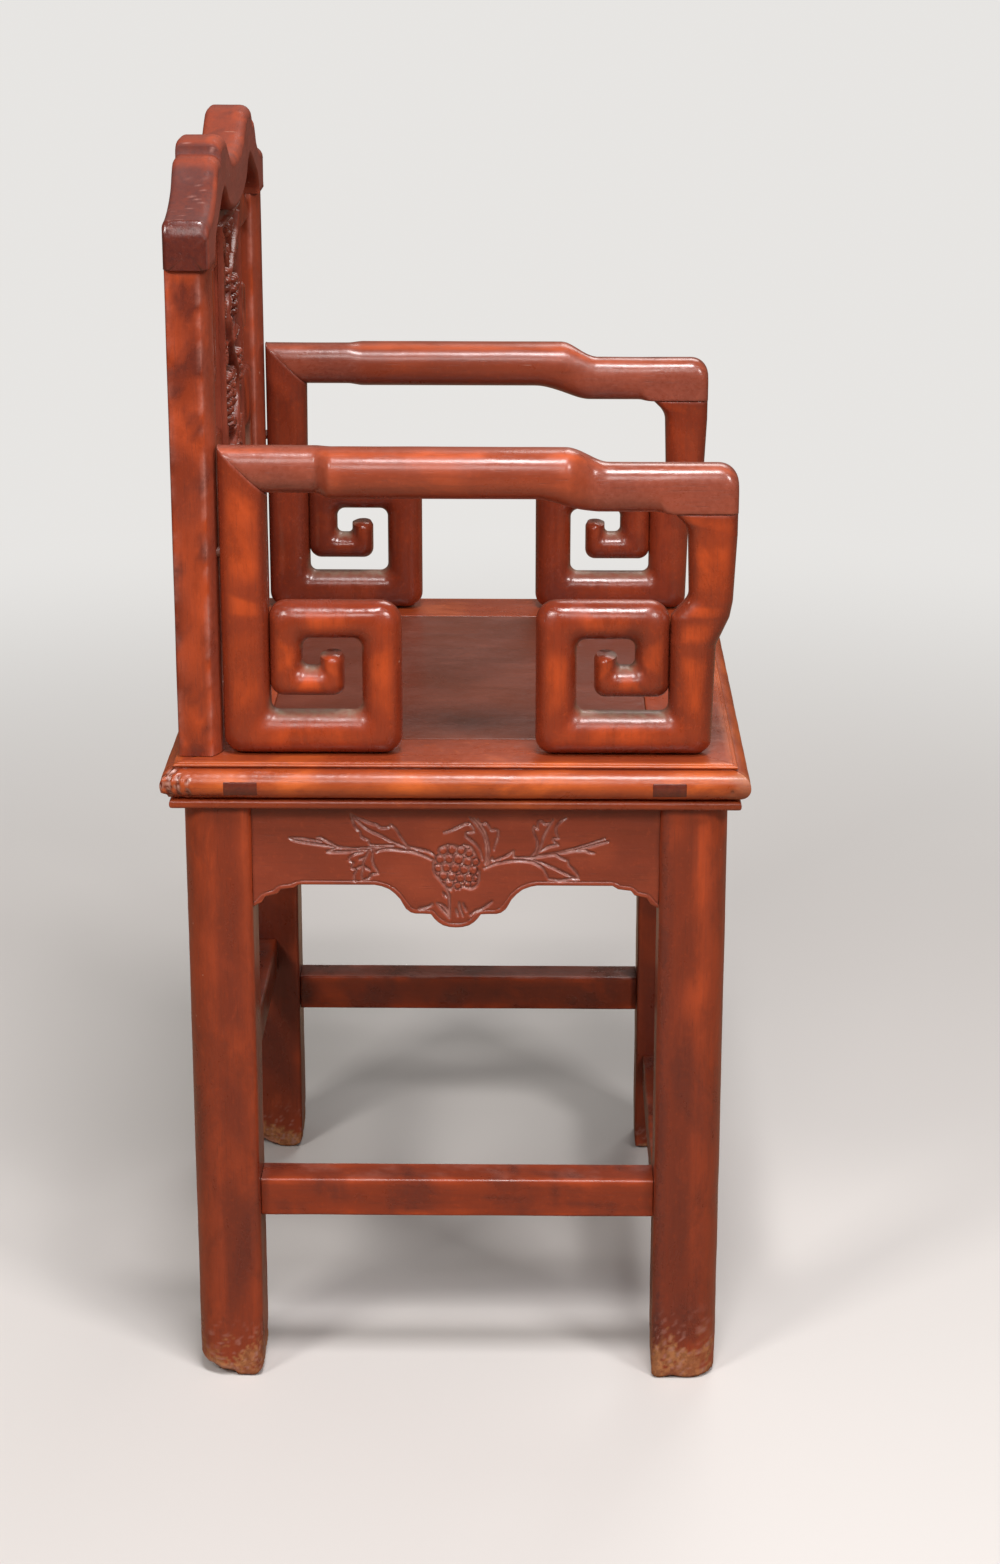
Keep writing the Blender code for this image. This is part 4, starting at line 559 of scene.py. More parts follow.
# The gouge cuts, in millimetres from the apron's middle towards the chair's front and above its flat edge:
# twigs and leaf rims as lines, and then each berry by its middle and its size.
GOUGE_CUTS = (
    ((-15.1, 19.0), (-20.3, 21.7), (-26.1, 24.4), (-33.5, 26.6), (-40.8, 27.5), (-48.2, 28.3),
     (-55.5, 27.5), (-58.4, 26.0)),
    ((-14.4, 22.1), (-17.3, 25.2), (-21.0, 27.1), (-26.1, 28.3), (-32.0, 29.4), (-36.4, 31.4)),
    ((-33.5, 28.7), (-42.3, 32.2), (-47.4, 34.5), (-52.6, 37.6), (-57.0, 39.9), (-61.4, 41.9),
     (-65.8, 44.6), (-69.4, 47.7), (-76.8, 55.0)),
    ((-34.2, 29.1), (-37.1, 32.9), (-40.8, 38.4), (-43.7, 43.8), (-47.4, 47.3)),
    ((-47.4, 47.3), (-49.6, 45.3), (-54.8, 45.0), (-57.7, 47.3), (-62.1, 48.4), (-65.8, 50.0),
     (-70.2, 51.9), (-76.8, 55.0)),
    ((-76.8, 55.0), (-75.3, 49.2), (-73.1, 44.6), (-70.2, 41.9)),
    ((-70.2, 41.9), (-69.4, 38.4), (-66.5, 36.4), (-63.9, 35.3)),
    ((-63.9, 35.3), (-63.2, 32.2), (-59.9, 31.0), (-54.0, 31.0), (-45.2, 31.4)),
    ((-52.6, 29.8), (-62.8, 29.4), (-73.8, 28.7), (-81.2, 29.1), (-87.1, 30.2), (-91.5, 32.6),
     (-95.9, 35.3), (-99.5, 37.2), (-101.7, 36.8)),
    ((-59.9, 27.9), (-68.7, 27.4), (-77.5, 26.4), (-84.9, 26.0), (-94.4, 26.1), (-90.0, 27.9),
     (-87.1, 29.8)),
    ((-122.3, 36.8), (-118.6, 34.9), (-110.5, 33.3), (-103.2, 32.2), (-95.9, 31.0), (-90.0, 29.8)),
    ((-122.3, 36.8), (-114.2, 36.4), (-106.1, 35.3), (-98.8, 34.1)),
    ((-63.6, 26.7), (-65.8, 22.9), (-68.0, 17.4), (-68.7, 12.0), (-69.4, 5.8)),
    ((-68.7, 26.0), (-76.0, 23.6), (-78.2, 19.8), (-75.3, 17.4)),
    ((-75.3, 17.4), (-76.8, 13.6), (-73.5, 12.0), (-74.9, 7.4), (-74.6, 3.1)),
    ((-60.6, 27.5), (-61.4, 21.3), (-60.6, 15.9), (-58.8, 12.8), (-57.3, 9.3)),
    ((-57.3, 9.3), (-62.1, 8.5), (-63.6, 5.8), (-68.7, 4.3)),
    ((-65.8, 22.1), (-70.9, 20.2)),
    ((-68.0, 15.1), (-72.4, 13.6)),
    ((-67.6, 15.1), (-63.6, 12.0)),
    ((-12.9, 23.6), (-16.2, 18.2), (-16.6, 13.6), (-15.1, 8.9), (-11.5, 4.3), (-7.8, -0.4), (-3.4, -3.5)),
    ((4.7, -0.4), (10.6, -1.9), (15.0, 0.0), (17.2, 5.0), (17.2, 11.2)),
    ((-12.9, 26.0), (-10.7, 29.4), (-5.6, 31.4), (-0.4, 31.0), (4.0, 29.1)),
    ((3.2, 30.2), (6.2, 31.4), (10.6, 30.2), (13.5, 26.4), (15.7, 21.3)),
    ((-8.5, 41.5), (-4.1, 43.0), (1.8, 45.7), (6.9, 48.1), (10.6, 48.1), (13.5, 43.8)),
    ((10.6, 53.1), (14.2, 49.2), (17.9, 43.8), (20.8, 38.4), (22.3, 31.4), (22.7, 23.6), (21.6, 17.4)),
    ((13.5, 42.2), (9.1, 41.5), (7.3, 39.5), (10.6, 36.4), (15.0, 32.2), (17.9, 27.5), (19.7, 20.5)),
    ((13.5, 52.3), (17.9, 47.7), (21.6, 41.5), (23.8, 33.7), (24.5, 26.0), (23.0, 18.2)),
    ((16.4, 51.5), (18.6, 48.1), (22.3, 48.8), (24.5, 46.1), (26.0, 43.4)),
    ((26.0, 43.4), (29.7, 43.8), (31.5, 41.5), (30.8, 36.8), (29.3, 32.2), (28.2, 28.3)),
    ((23.8, 16.7), (26.7, 21.7), (28.2, 19.8), (34.8, 22.5), (39.2, 24.8), (42.5, 27.1)),
    ((42.5, 27.1), (43.2, 22.5), (50.9, 22.1), (56.1, 22.1), (61.9, 23.6), (67.8, 24.8), (73.7, 26.0)),
    ((20.8, 13.6), (26.7, 16.3), (32.6, 18.2), (39.9, 19.4), (47.3, 19.8), (54.6, 19.0), (60.5, 16.7),
     (64.2, 13.6), (66.4, 9.7), (68.6, 5.4)),
    ((73.7, 26.0), (80.3, 27.5), (87.6, 29.4), (95.0, 31.8), (102.3, 34.5), (109.7, 37.2)),
    ((76.6, 25.6), (84.0, 27.1), (91.3, 28.7), (98.6, 31.0), (106.0, 33.3), (111.9, 34.9)),
    ((89.8, 27.5), (95.0, 27.9), (98.6, 26.4), (101.6, 26.0)),
    ((55.3, 22.9), (59.0, 27.5), (60.1, 33.7), (58.3, 39.1), (56.8, 43.8), (57.5, 46.5)),
    ((57.5, 46.5), (60.1, 44.6), (60.5, 49.2), (62.7, 50.8), (65.6, 48.4), (68.6, 48.8)),
    ((59.7, 24.4), (62.7, 30.6), (64.2, 36.8), (66.4, 42.2), (69.3, 47.7), (71.5, 51.5)),
    ((62.7, 27.5), (67.8, 30.6), (72.2, 31.8), (75.2, 32.2)),
    ((75.2, 32.2), (72.2, 34.9), (71.9, 36.8), (75.5, 37.6)),
    ((75.5, 37.6), (73.7, 42.2), (74.4, 46.9), (77.4, 50.8), (81.0, 53.1)),
    ((56.1, 20.9), (61.9, 22.9), (69.3, 24.4), (73.7, 24.4), (78.1, 21.7), (82.5, 19.8)),
    ((82.5, 19.8), (83.2, 16.7), (86.2, 13.6), (89.1, 9.7), (90.6, 5.8)),
    ((57.5, 19.8), (63.4, 18.2), (69.3, 15.5), (75.2, 12.8), (81.0, 9.7), (85.4, 7.4), (90.6, 5.8)),
    ((68.6, 5.4), (72.2, 5.2), (76.6, 4.4), (80.3, 5.0), (85.4, 5.8), (90.6, 5.8)),
    ((-7.0, -2.7), (-4.8, -8.1), (-4.8, -13.6), (-4.8, -19.0), (-4.8, -25.2)),
    ((-13.7, -14.3), (-10.7, -15.0), (-7.8, -17.1), (-5.9, -20.5), (-4.8, -25.2)),
    ((-13.7, -14.3), (-11.5, -17.1), (-9.2, -19.8), (-7.0, -22.5), (-4.8, -25.2)),
    ((-9.2, -5.8), (-7.0, -8.9)),
    ((2.5, -13.6), (3.2, -18.2), (5.1, -23.6)),
    ((0.3, -19.0), (1.4, -23.6)),
    ((10.6, -22.9), (15.0, -19.8), (20.1, -17.4), (23.8, -14.7), (26.7, -12.4)),
    ((5.4, -14.3), (7.6, -19.8)),
    ((-26.9, -18.2), (-21.7, -17.1), (-17.3, -14.7)),
)
GOUGE_BERRIES = (
    (-9.2, 27.1, 3.5), (-2.6, 27.5, 3.5), (4.0, 27.1, 3.5), (9.8, 25.2, 3.3), (-11.5, 20.2, 3.5),
    (-4.8, 20.5, 3.6), (2.1, 20.2, 3.9),
    (8.7, 18.2, 3.6), (14.6, 18.2, 2.9), (-12.9, 13.2, 3.2), (-7.0, 13.6, 3.5), (-0.4, 13.2, 3.6),
    (6.2, 12.0, 3.5), (12.8, 11.6, 3.3),
    (-8.9, 7.0, 3.3), (-2.6, 6.6, 3.4), (3.6, 5.4, 3.4), (9.8, 5.4, 3.3), (-4.8, 0.8, 3.2),
    (1.4, -0.4, 2.7), (8.7, 0.4, 2.4), (14.2, 5.4, 2.4))


def smooth_line(points, steps=6):
    """A curve through given points: each span is a cubic whose slopes at its ends follow the neighbours."""
    points = np.asarray(points, float)
    wide = np.concatenate([2 * points[:1] - points[1:2], points, 2 * points[-1:] - points[-2:-1]])
    share = np.linspace(0, 1, steps, endpoint=False)[None, :, None]
    a, b, c, d = (wide[i:len(wide) - 3 + i, None] for i in range(4))
    curve = 2 * b + (c - a) * share
    curve = curve + (2 * a - 5 * b + 4 * c - d) * share ** 2 + (3 * b - a - 3 * c + d) * share ** 3
    return np.concatenate([curve.reshape(-1, points.shape[1]) / 2, points[-1:]])


def distance_to(line, u, v, limit):
    """Distance from points (u, v) to a line of short spans, and the share of the way along it; points farther
    than the limit from its box keep the limit."""
    line = np.asarray(line, float)
    distance, along = np.full(np.shape(u), limit, float), np.zeros(np.shape(u))
    low, high = line.min(0) - limit, line.max(0) + limit
    close = (u > low[0]) & (u < high[0]) & (v > low[1]) & (v < high[1])
    spots = np.stack([u[close], v[close]], -1)[:, None]
    start, run = line[None, :-1], np.diff(line, axis=0)[None]
    share = np.clip(((spots - start) * run).sum(-1) / np.maximum((run ** 2).sum(-1), 1e-12), 0, 1)
    gaps = np.linalg.norm(spots - start - run * share[..., None], axis=-1)
    nearest = gaps.argmin(1)
    rows = np.arange(len(nearest))
    distance[close] = np.minimum(gaps[rows, nearest], limit)
    along[close] = (nearest + share[rows, nearest]) / run.shape[1]
    return distance, along


def gouged(u, v):
    """Depth of the spray cut into an apron's face: every cut is a groove whose depth falls off as a bell
    with the distance from its line and runs out at its ends; every berry is a dome left inside a
    ring-shaped cut."""
    depth = np.zeros(np.shape(u))
    for cut in GOUGE_CUTS:
        distance, along = distance_to(smooth_line(np.array(cut) * MILLIMETRE), u, v, GOUGE_WIDTH * 4)
        fading = 0.55 + 0.45 * np.sin(np.pi * np.clip(along, 0.08, 0.92))
        depth = np.maximum(depth, GOUGE_DEPTH * fading * bell(distance, 0, GOUGE_WIDTH))
    for berry in GOUGE_BERRIES:
        berry_u, berry_v, size = np.array(berry) * MILLIMETRE
        away = np.hypot(u - berry_u, v - berry_v) / size
        depth = np.maximum(depth, GOUGE_DEPTH * (1.15 * bell(away, 0.97, 0.20) + 0.25 * bell(away, 0, 0.18)))
    return depth


def slab_section(thickness, front_rounds, back_rounds, rows):
    """A board's section, seen from its end, with its front at nought: depth outward, share of the height from
    its lower to its upper edge, and an added height. Each edge is an arc, from the two rounds, lower and
    upper, of its face, and the rows between climb the front. Also tells which points are front rows, and how
    near each is to an edge: 1 on the front's arcs and less on the back's."""
    low, high = front_rounds
    back_low, back_high = back_rounds
    back = -thickness
    turn = np.linspace(0, np.pi / 2, 6)
    flat = np.linspace(0, 1, rows + 2)[1:-1]
    spans = (
        (low * (np.sin(turn) - 1), turn * 0, low * (1 - np.cos(turn)), 1.0),
        (flat * 0, flat, low * (1 - flat) - high * flat, 0.0),
        (high * (np.cos(turn) - 1), turn * 0 + 1, -high * (1 - np.sin(turn)), 1.0),
        (np.linspace(-high, back + back_high, 6)[1:-1], np.ones(4), np.zeros(4), 0.0),
        (back + back_high * (1 - np.sin(turn)), turn * 0 + 1, -back_high * (1 - np.cos(turn)), 0.35),
        (np.full(6, back), np.linspace(1, 0, 8)[1:-1], np.linspace(-back_high, back_low, 8)[1:-1], 0.0),
        (back + back_low * (1 - np.cos(turn)), turn * 0, back_low * (1 - np.sin(turn)), 0.35),
        (np.linspace(back + back_low, -low, 6)[1:-1], np.zeros(4), np.zeros(4), 0.0))
    depth, share, extra = (np.concatenate([span[i] for span in spans]) for i in range(3))
    edge = np.concatenate([np.full(len(span[0]), span[3]) for span in spans])
    front_rows = np.concatenate([np.full(len(span[0]), span is spans[1]) for span in spans])
    return depth, share, extra, front_rows, edge


def apron(half_length, face_middle, run, outward, seed):
    """An apron: the board's section carried from leg to leg, its lower edge following the sawn outline, with
    the gouged spray and the edge's bead sunk into its front rows."""
    face_middle, run, outward = (np.array(way, float) for way in (face_middle, run, outward))
    end_start = half_length - APRON_END_REACH
    half = np.array([(u * APRON_WING, -v * APRON_LOBE_DROP) for u, v in APRON_WING_SHARES]
                    + [(end_start + u * APRON_END_REACH, -v * APRON_END_DROP) for u, v in APRON_END_SHARES])
    stations = np.linspace(-half_length, half_length, int(half_length * 2 / APRON_STATION))
    low = APRON_FLAT + np.interp(np.abs(stations), half[:, 0], half[:, 1])
    rounds = APRON_LOWER_ROUND, APRON_UPPER_ROUND
    depth, share, extra, front_rows, edge = slab_section(APRON_THICKNESS, rounds, rounds, APRON_ROWS)
    height = low[:, None] * (1 - share) + APRON_TOP * share + extra
    along = np.broadcast_to(stations[:, None], height.shape)
    face = along[:, front_rows], height[:, front_rows]
    from_edge, _ = distance_to(np.stack([stations, low], 1)[::6], *face, BEAD_INSET * 2)
    sink = np.zeros(height.shape)
    sink[:, front_rows] = gouged(face[0], face[1] - APRON_FLAT)
    sink[:, front_rows] += BEAD_DEPTH * bell(from_edge, BEAD_INSET, BEAD_WIDTH)
    places = np.stack([along, np.broadcast_to(depth, height.shape), height], -1)
    sink += ripple(places, 0.05, seed) * 0.00018 * front_rows
    rings = face_middle + run * along[..., None] + outward * (depth - sink)[..., None]
    rings = rings + UP * height[..., None]
    # The cuts are painted darker as shade, and paler where deepest, as dust and as a painted highlight.
    carved = front_rows * rise(sink, 0.0002, 0.0007)
    dust_and_highlight = front_rows * rise(sink, 0.0007, 0.0015)
    dust_and_highlight *= 0.40 + 0.45 * rise(ripple(places, 0.012, seed + 2), -0.2, 0.4)
    rubbed = np.maximum(edge * 0.8, front_rows * rise(sink, 0.00005, 0.0003) * 0.75)
    wear = np.clip(rubbed + 0.35 * rise(ripple(places, 0.06, seed + 1), 0.1, 0.5), 0, 1) * (1 - carved)
    return shell(rings, wear=wear, dark=carved * (1 - dust_and_highlight) * 0.55, chalk=np.maximum(dust_and_highlight, carved * 0.25))


APRON_COLOURS = {"ground": (0.250, 0.042, 0.018), "worn": (0.42, 0.075, 0.024)}
apron_finish = lacquer("lacquer_aprons", "Y", 2.9, **APRON_COLOURS)
apron_finish_across = lacquer("lacquer_aprons_across", "X", 3.7, **APRON_COLOURS)
for word, side, seed in (("right", -1, 61), ("left", 1, 67)):
    board = apron(SIDE_APRON_HALF, (side * APRON_FACE_X, 0, 0), (0, -1, 0), (side, 0, 0), seed)
    piece(f"apron_{word}", [board], apron_finish)
for word, end, seed in (("front", -1, 71), ("rear", 1, 73)):
    board = apron(FRONT_APRON_HALF, (0, end * APRON_FACE_Y, 0), (1, 0, 0), (0, end, 0), seed)
    piece(f"apron_{word}", [board], apron_finish_across)

# The four stretchers
# Square hardwood bars, tenoned into the legs at three levels, the front one lowest and the rear one highest.
# Their edges are eased by hand, their tops hold dust and dirt and are painted darker as shade, and their
# upper edges are rubbed pale.
STRETCHER_HEIGHT, STRETCHER_ROUND = 0.031, 0.0022
SIDE_BAR_OUT, SIDE_BAR_IN, SIDE_BAR_HALF, SIDE_BAR_LOW = 0.226, 0.1955, 0.1497, 0.132
CROSS_BAR_HALF = 0.1872
CROSS_BARS = (("front", -0.1865, -0.156, 0.061, 95), ("rear", 0.169, 0.195, 0.1705, 94))
BAR_END_EASE, BAR_STATION = 0.0004, 0.006


def eased(low, high, ease, spacing):
    """Stations from low to high with a quarter-round ease at both ends: places, and how far the section
    draws in at each."""
    turn = np.linspace(0, np.pi / 2, 5)[:-1]
    start = ease * (1 - np.cos(turn))
    inset = ease * (1 - np.sin(turn))
    middle = np.linspace(low + ease, high - ease, max(int((high - low) / spacing), 2))
    places = np.concatenate([low + start, middle, high - start[::-1]])
    return places, np.concatenate([inset, middle * 0, inset[::-1]])


def square_bar(low_corner, high_corner, axis, ease, seed):
    """A square bar between two corners of its box: its eased outline carried along an axis, drawn in at its
    ends, and uneven by fractions of a millimetre. Returns its rings, its wear and its outward normals."""
    (a, b), (c, d) = ((low_corner[i], high_corner[i]) for i in range(3) if i != axis)
    loop, near_corner = outline([(a, c, ease), (b, c, ease), (b, d, ease), (a, d, ease)], 4)
    places, inset = eased(low_corner[axis], high_corner[axis], BAR_END_EASE, BAR_STATION)
    plan = loop[None] - sideways(loop)[None] * inset[:, None, None]
    rings = np.insert(plan, axis, np.broadcast_to(places[:, None], plan.shape[:2]), axis=-1)
    normal = np.insert(sideways(loop), axis, 0, axis=-1)
    rings -= normal[None] * (0.0002 + ripple(rings, 0.06, seed) * 0.0002)[..., None]
    wear = near_corner[None] * 0.8 * (0.75 + 0.9 * ripple(rings, 0.035, seed + 1))
    wear += 0.5 * rise(ripple(rings, 0.08, seed + 2), 0.15, 0.5)
    return rings, wear, normal


def stretcher(low_corner, high_corner, axis, seed):
    """A stretcher: a square bar with clouds of dirt, a top painted darker as dirt and as painted shade, a
    little dust on its top, and a broken pale line along its upper edges."""
    rings, wear, normal = square_bar(low_corner, high_corner, axis, STRETCHER_ROUND, seed)
    facing_up = normal[:, 2]
    rubbed = rise(ripple(rings, 0.05, seed + 4) + 0.6 * ripple(rings, 0.012, seed + 5), -0.05, 0.35)
    dirt = rise(ripple(rings, 0.07, seed + 6) + 0.5 * ripple(rings, 0.016, seed + 7), -0.10, 0.45)
    return shell(rings, wear=wear, chalk=0.55 * bell(facing_up, 0.7, 0.25)[None] * rubbed,
                 # The top faces are painted darker, partly as dirt and partly as painted shade.
                 dark=0.62 * dirt + 0.18 * rise(facing_up, 0.8, 1.0)[None],
                 dust=0.04 * np.clip(facing_up, 0, 1)[None])


stretcher_finish = lacquer("lacquer_stretchers", "Y", 4.1)
stretcher_finish_across = lacquer("lacquer_stretchers_across", "X", 5.3)
for side, word in ((-1, "right"), (1, "left")):
    near, far = sorted((side * SIDE_BAR_OUT, side * SIDE_BAR_IN))
    low_corner = near, -SIDE_BAR_HALF, SIDE_BAR_LOW
    high_corner = far, SIDE_BAR_HALF, SIDE_BAR_LOW + STRETCHER_HEIGHT
    piece(f"stretcher_{word}", [stretcher(low_corner, high_corner, 1, 80 + side)], stretcher_finish)
for word, front, back, low, seed in CROSS_BARS:
    low_corner = -CROSS_BAR_HALF, front, low
    high_corner = CROSS_BAR_HALF, back, low + STRETCHER_HEIGHT
    piece(f"stretcher_{word}", [stretcher(low_corner, high_corner, 0, seed)], stretcher_finish_across)

# The seat frame
# Four rails, mitred at the corners, with a moulded edge: bead, step, bullnose, quirk and foot bead. The front
# and rear rails' tenons run through the side rails and show there as darker end grain.
SEAT_HALF_X, SEAT_HALF_Y, SEAT_TOP = 0.250, 0.215, 0.500
NOSE_RADIUS, NOSE_MIDDLE, NOSE_INSET = 0.01075, 0.01525, 0.0002
NOSE_START, NOSE_POINTS = 14, 15
MITRE_GAP = 0.00025
RAIL_STATIONS = 341
NAIL_Y, NAIL_Z, NAIL_SIZE = -0.2015, 0.4826, 0.0013
CRACK_Z, CRACK_WIDTH = 0.4768, 0.0010
BROKEN_DEPTH, CRACK_DEPTH = 0.0016, 0.0012
TENON_SPAN_Y, TENON_SPAN_Z, TENON_ROUND = (0.1435, 0.168), (0.478, 0.4885), 0.0006

# The moulded profile, as metres behind the outer face and below the top: the inner face and underside, the
# foot bead, the bullnose, the step, the upper bead and the flat top.
nose_turn = np.linspace(-np.pi / 2, np.pi / 2, NOSE_POINTS)
bead_turn = np.linspace(0, np.pi / 2, 5)
RAIL_PROFILE = np.concatenate([
    [(-0.0718, -0.0004), (-0.0718, -0.012), (-0.0718, -0.0340), (-0.060, -0.0340), (-0.040, -0.0340)],
    [(-0.020, -0.0340), (-0.0085, -0.0340), (-0.0072, -0.0333), (-0.0066, -0.0320), (-0.0065, -0.0300)],
    [(-0.0069, -0.0284), (-0.0080, -0.0276), (-0.0100, -0.0272), (-0.0118, -0.0268)],
    np.stack([
        NOSE_RADIUS * (np.cos(nose_turn) - 1) - NOSE_INSET,
        NOSE_RADIUS * np.sin(nose_turn) - NOSE_MIDDLE], 1),
    [(-0.0116, -0.0044), (-0.0117, -0.0036), (-0.0114, -0.0031)],
    np.stack([0.0011 * np.sin(bead_turn * 2) - 0.0107, -0.0010 * np.cos(bead_turn * 2) - 0.0019], 1),
    [(-0.0114, -0.0007), (-0.0118, -0.0009)],
    np.stack([0.0008 * np.cos(bead_turn) - 0.0134, 0.0008 * np.sin(bead_turn) - 0.0008], 1),
    [(-0.018, 0), (-0.028, 0), (-0.040, 0), (-0.052, 0), (-0.064, 0), (-0.070, 0), (-0.0714, -0.0001)]])
on_nose_row = np.arange(len(RAIL_PROFILE)) - NOSE_START
NOSE_SPAN = (on_nose_row >= 0) & (on_nose_row < NOSE_POINTS)
RAIL_NORMALS = sideways(RAIL_PROFILE)


def seat_rail(outward, half_length, reach, seed):
    """A seat rail: its profile carried along its length; each point stops at the mitre, which is as far from
    the middle as the point is from the rail's outer face. The nose is dented by use, and it is broken at one
    rear corner, cracked beside that, and nailed near the front."""
    outward = np.array(outward, float)
    run = np.array((-outward[1], outward[0], 0))
    across_rail, drop = RAIL_PROFILE.T
    along = np.linspace(-1, 1, RAIL_STATIONS)[:, None] * (half_length + across_rail[None] - MITRE_GAP)
    rings = outward * (reach + across_rail)[None, :, None] + run * along[..., None]
    rings = rings + UP * (SEAT_TOP + drop)[None, :, None]
    inward = -(outward * RAIL_NORMALS[:, :1] + UP * RAIL_NORMALS[:, 1:])[None]
    dent = ripple(rings, 0.05, seed) * 0.00025 + ripple(rings, 0.012, seed + 1) * 0.00012 + 0.0001
    rings += inward * (np.clip(dent, 0, 1) * NOSE_SPAN)[..., None]
    x, y, z = rings[..., 0], rings[..., 1], rings[..., 2]
    from_rear_corner = np.hypot(x + SEAT_HALF_X, y - SEAT_HALF_Y)
    from_front_corner = np.hypot(x + SEAT_HALF_X, y + SEAT_HALF_Y)
    broken = np.exp(-from_rear_corner / 0.022) * (1 + 1.7 * ripple(rings, 0.009, 125))
    broken = NOSE_SPAN * rise(broken, 0.42, 0.75)
    crack = bell(z, CRACK_Z + 0.0006 * ripple(rings, 0.02, 126), CRACK_WIDTH)
    crack *= NOSE_SPAN * fall(from_rear_corner, 0.040, 0.062)
    paler = NOSE_SPAN * rise(np.exp(-from_front_corner / 0.018) + 0.4 * ripple(rings, 0.012, 127), 0.35, 0.8)
    from_nail = ((y - NAIL_Y) ** 2 + (z - NAIL_Z) ** 2) / NAIL_SIZE ** 2
    nail = NOSE_SPAN * np.exp(-from_nail ** 2) * (x < 0.01 - SEAT_HALF_X)
    deep = broken * (BROKEN_DEPTH + 0.0014 * ripple(rings, 0.0045, 128)) + (crack + nail) * CRACK_DEPTH
    rings += inward * deep[..., None]
    worn_nose = NOSE_SPAN * np.clip(RAIL_NORMALS[:, 0], 0, 1) * (0.72 + 0.9 * ripple(rings, 0.07, seed + 2))
    worn_bead = ((drop > -0.0035) & (across_rail > -0.016))[None] * 0.55
    wear = np.clip(worn_nose + worn_bead + 0.4 * rise(ripple(rings, 0.09, seed + 3), 0.1, 0.5), 0, 1)
    flaked = broken * rise(ripple(rings, 0.0045, 129), -0.05, 0.15)
    dark = np.maximum(np.maximum(broken, crack) * 0.9, nail)
    return shell(rings, wear=wear * (1 - broken), dark=dark, bare=np.maximum(paler * 0.6, flaked * 0.7),
                 chalk=np.maximum(flaked * 0.95, paler * 0.12))


def tenon_end(side, end, seed):
    """The end of a through tenon: a rectangle that follows the nose, a hair proud of it, with a thin body
    behind. Its rings run from the middle of its back, over its sides, to the middle of its face."""
    (near, far), (low, high) = TENON_SPAN_Y, TENON_SPAN_Z
    corners = (near, low), (far, low), (far, high), (near, high)
    border, _ = outline([(*corner, TENON_ROUND) for corner in corners], 2, 0.0009)
    middle = border.mean(0)
    shares = np.array([0.3, 1, 1, 0.985, 0.9, 0.75, 0.55, 0.35, 0.15])
    flat = middle + (border - middle)[None] * shares[:, None, None]
    y, z = flat[..., 0], flat[..., 1]
    swell = np.sqrt(NOSE_RADIUS ** 2 - (z - SEAT_TOP + NOSE_MIDDLE) ** 2)
    lift = np.array([-0.003, -0.003, 0.00002] + [0.00013] * 6)
    rough_end = 0.00008 * ripple(np.stack([y, z * 3, y * 0], -1), 0.004, seed) * (shares < 0.95)[:, None]
    x = side * (SEAT_HALF_X - NOSE_RADIUS - NOSE_INSET + swell + lift[:, None] + rough_end)
    return shell(np.stack([x, end * y, z], -1), dark=0.85, wear=0)


RAIL_COLOURS = {"ground": (0.33, 0.052, 0.015), "worn": (0.62, 0.125, 0.020), "gloss": 0.22}
rail_finish = lacquer("lacquer_side_rails", "Y", 6.1, **RAIL_COLOURS)
rail_finish_across = lacquer("lacquer_front_rails", "X", 7.9, **RAIL_COLOURS)
for side, word in ((-1, "right"), (1, "left")):
    rail = seat_rail((side, 0, 0), SEAT_HALF_Y, SEAT_HALF_X, 100 + side)
    piece(f"seat_rail_{word}", [rail], rail_finish, sharp=60)
for end, word in ((-1, "front"), (1, "rear")):
    rail = seat_rail((0, end, 0), SEAT_HALF_X, SEAT_HALF_Y, 110 + end)
    tenons = [tenon_end(side, end, 120 + side) for side in (-1, 1)]
    piece(f"seat_rail_{word}", [rail] + tenons, rail_finish_across, sharp=60)

# The seat panel and its battens
# One wide browner board, tongued into the frame on all sides and free to move there, and the two square
# battens that stiffen it from below, tenoned into the front and rear rails.
PANEL_HALF_X, PANEL_HALF_Y, PANEL_THICKNESS, PANEL_ROUND = 0.1777, 0.1427, 0.012, 0.001
PANEL_TOP_ROWS, PANEL_HOLLOW = 34, 0.00012
BATTEN_NEAR, BATTEN_FAR, BATTEN_LOW, BATTEN_HIGH, BATTEN_ROUND = 0.060, 0.090, 0.4717, 0.4877, 0.0015


def panel():
    """The board: squares carried outward from its middle on top, down its edge, and back in underneath; its
    top is hollowed by a fraction of a millimetre by use."""
    signs = (-1, -1), (1, -1), (1, 1), (-1, 1)
    loop, _ = outline([(x * PANEL_HALF_X, y * PANEL_HALF_Y, PANEL_ROUND) for x, y in signs], 3, 0.006)
    over_the_edge = [0.996, 0.9995, 1.0, 1.0, 0.998, 0.9, 0.5, 0.1]
    shares = np.concatenate([np.linspace(0.04, 0.985, PANEL_TOP_ROWS), over_the_edge])
    edge_drop = [0.00002, 0.00025, 0.0008, 0.011]
    drop = np.concatenate([np.zeros(PANEL_TOP_ROWS), edge_drop, [PANEL_THICKNESS] * 4])
    rings = standing(loop[None] * shares[:, None, None], SEAT_TOP - drop)
    top = (drop == 0)[:, None]
    hollow = PANEL_HOLLOW * (1 + ripple(rings, 0.12, 131)) * (1 - shares[:, None] ** 8)
    rings[..., 2] -= top * hollow
    return shell(rings, wear=0.25 * rise(ripple(rings, 0.11, 132), 0.1, 0.5) * top)


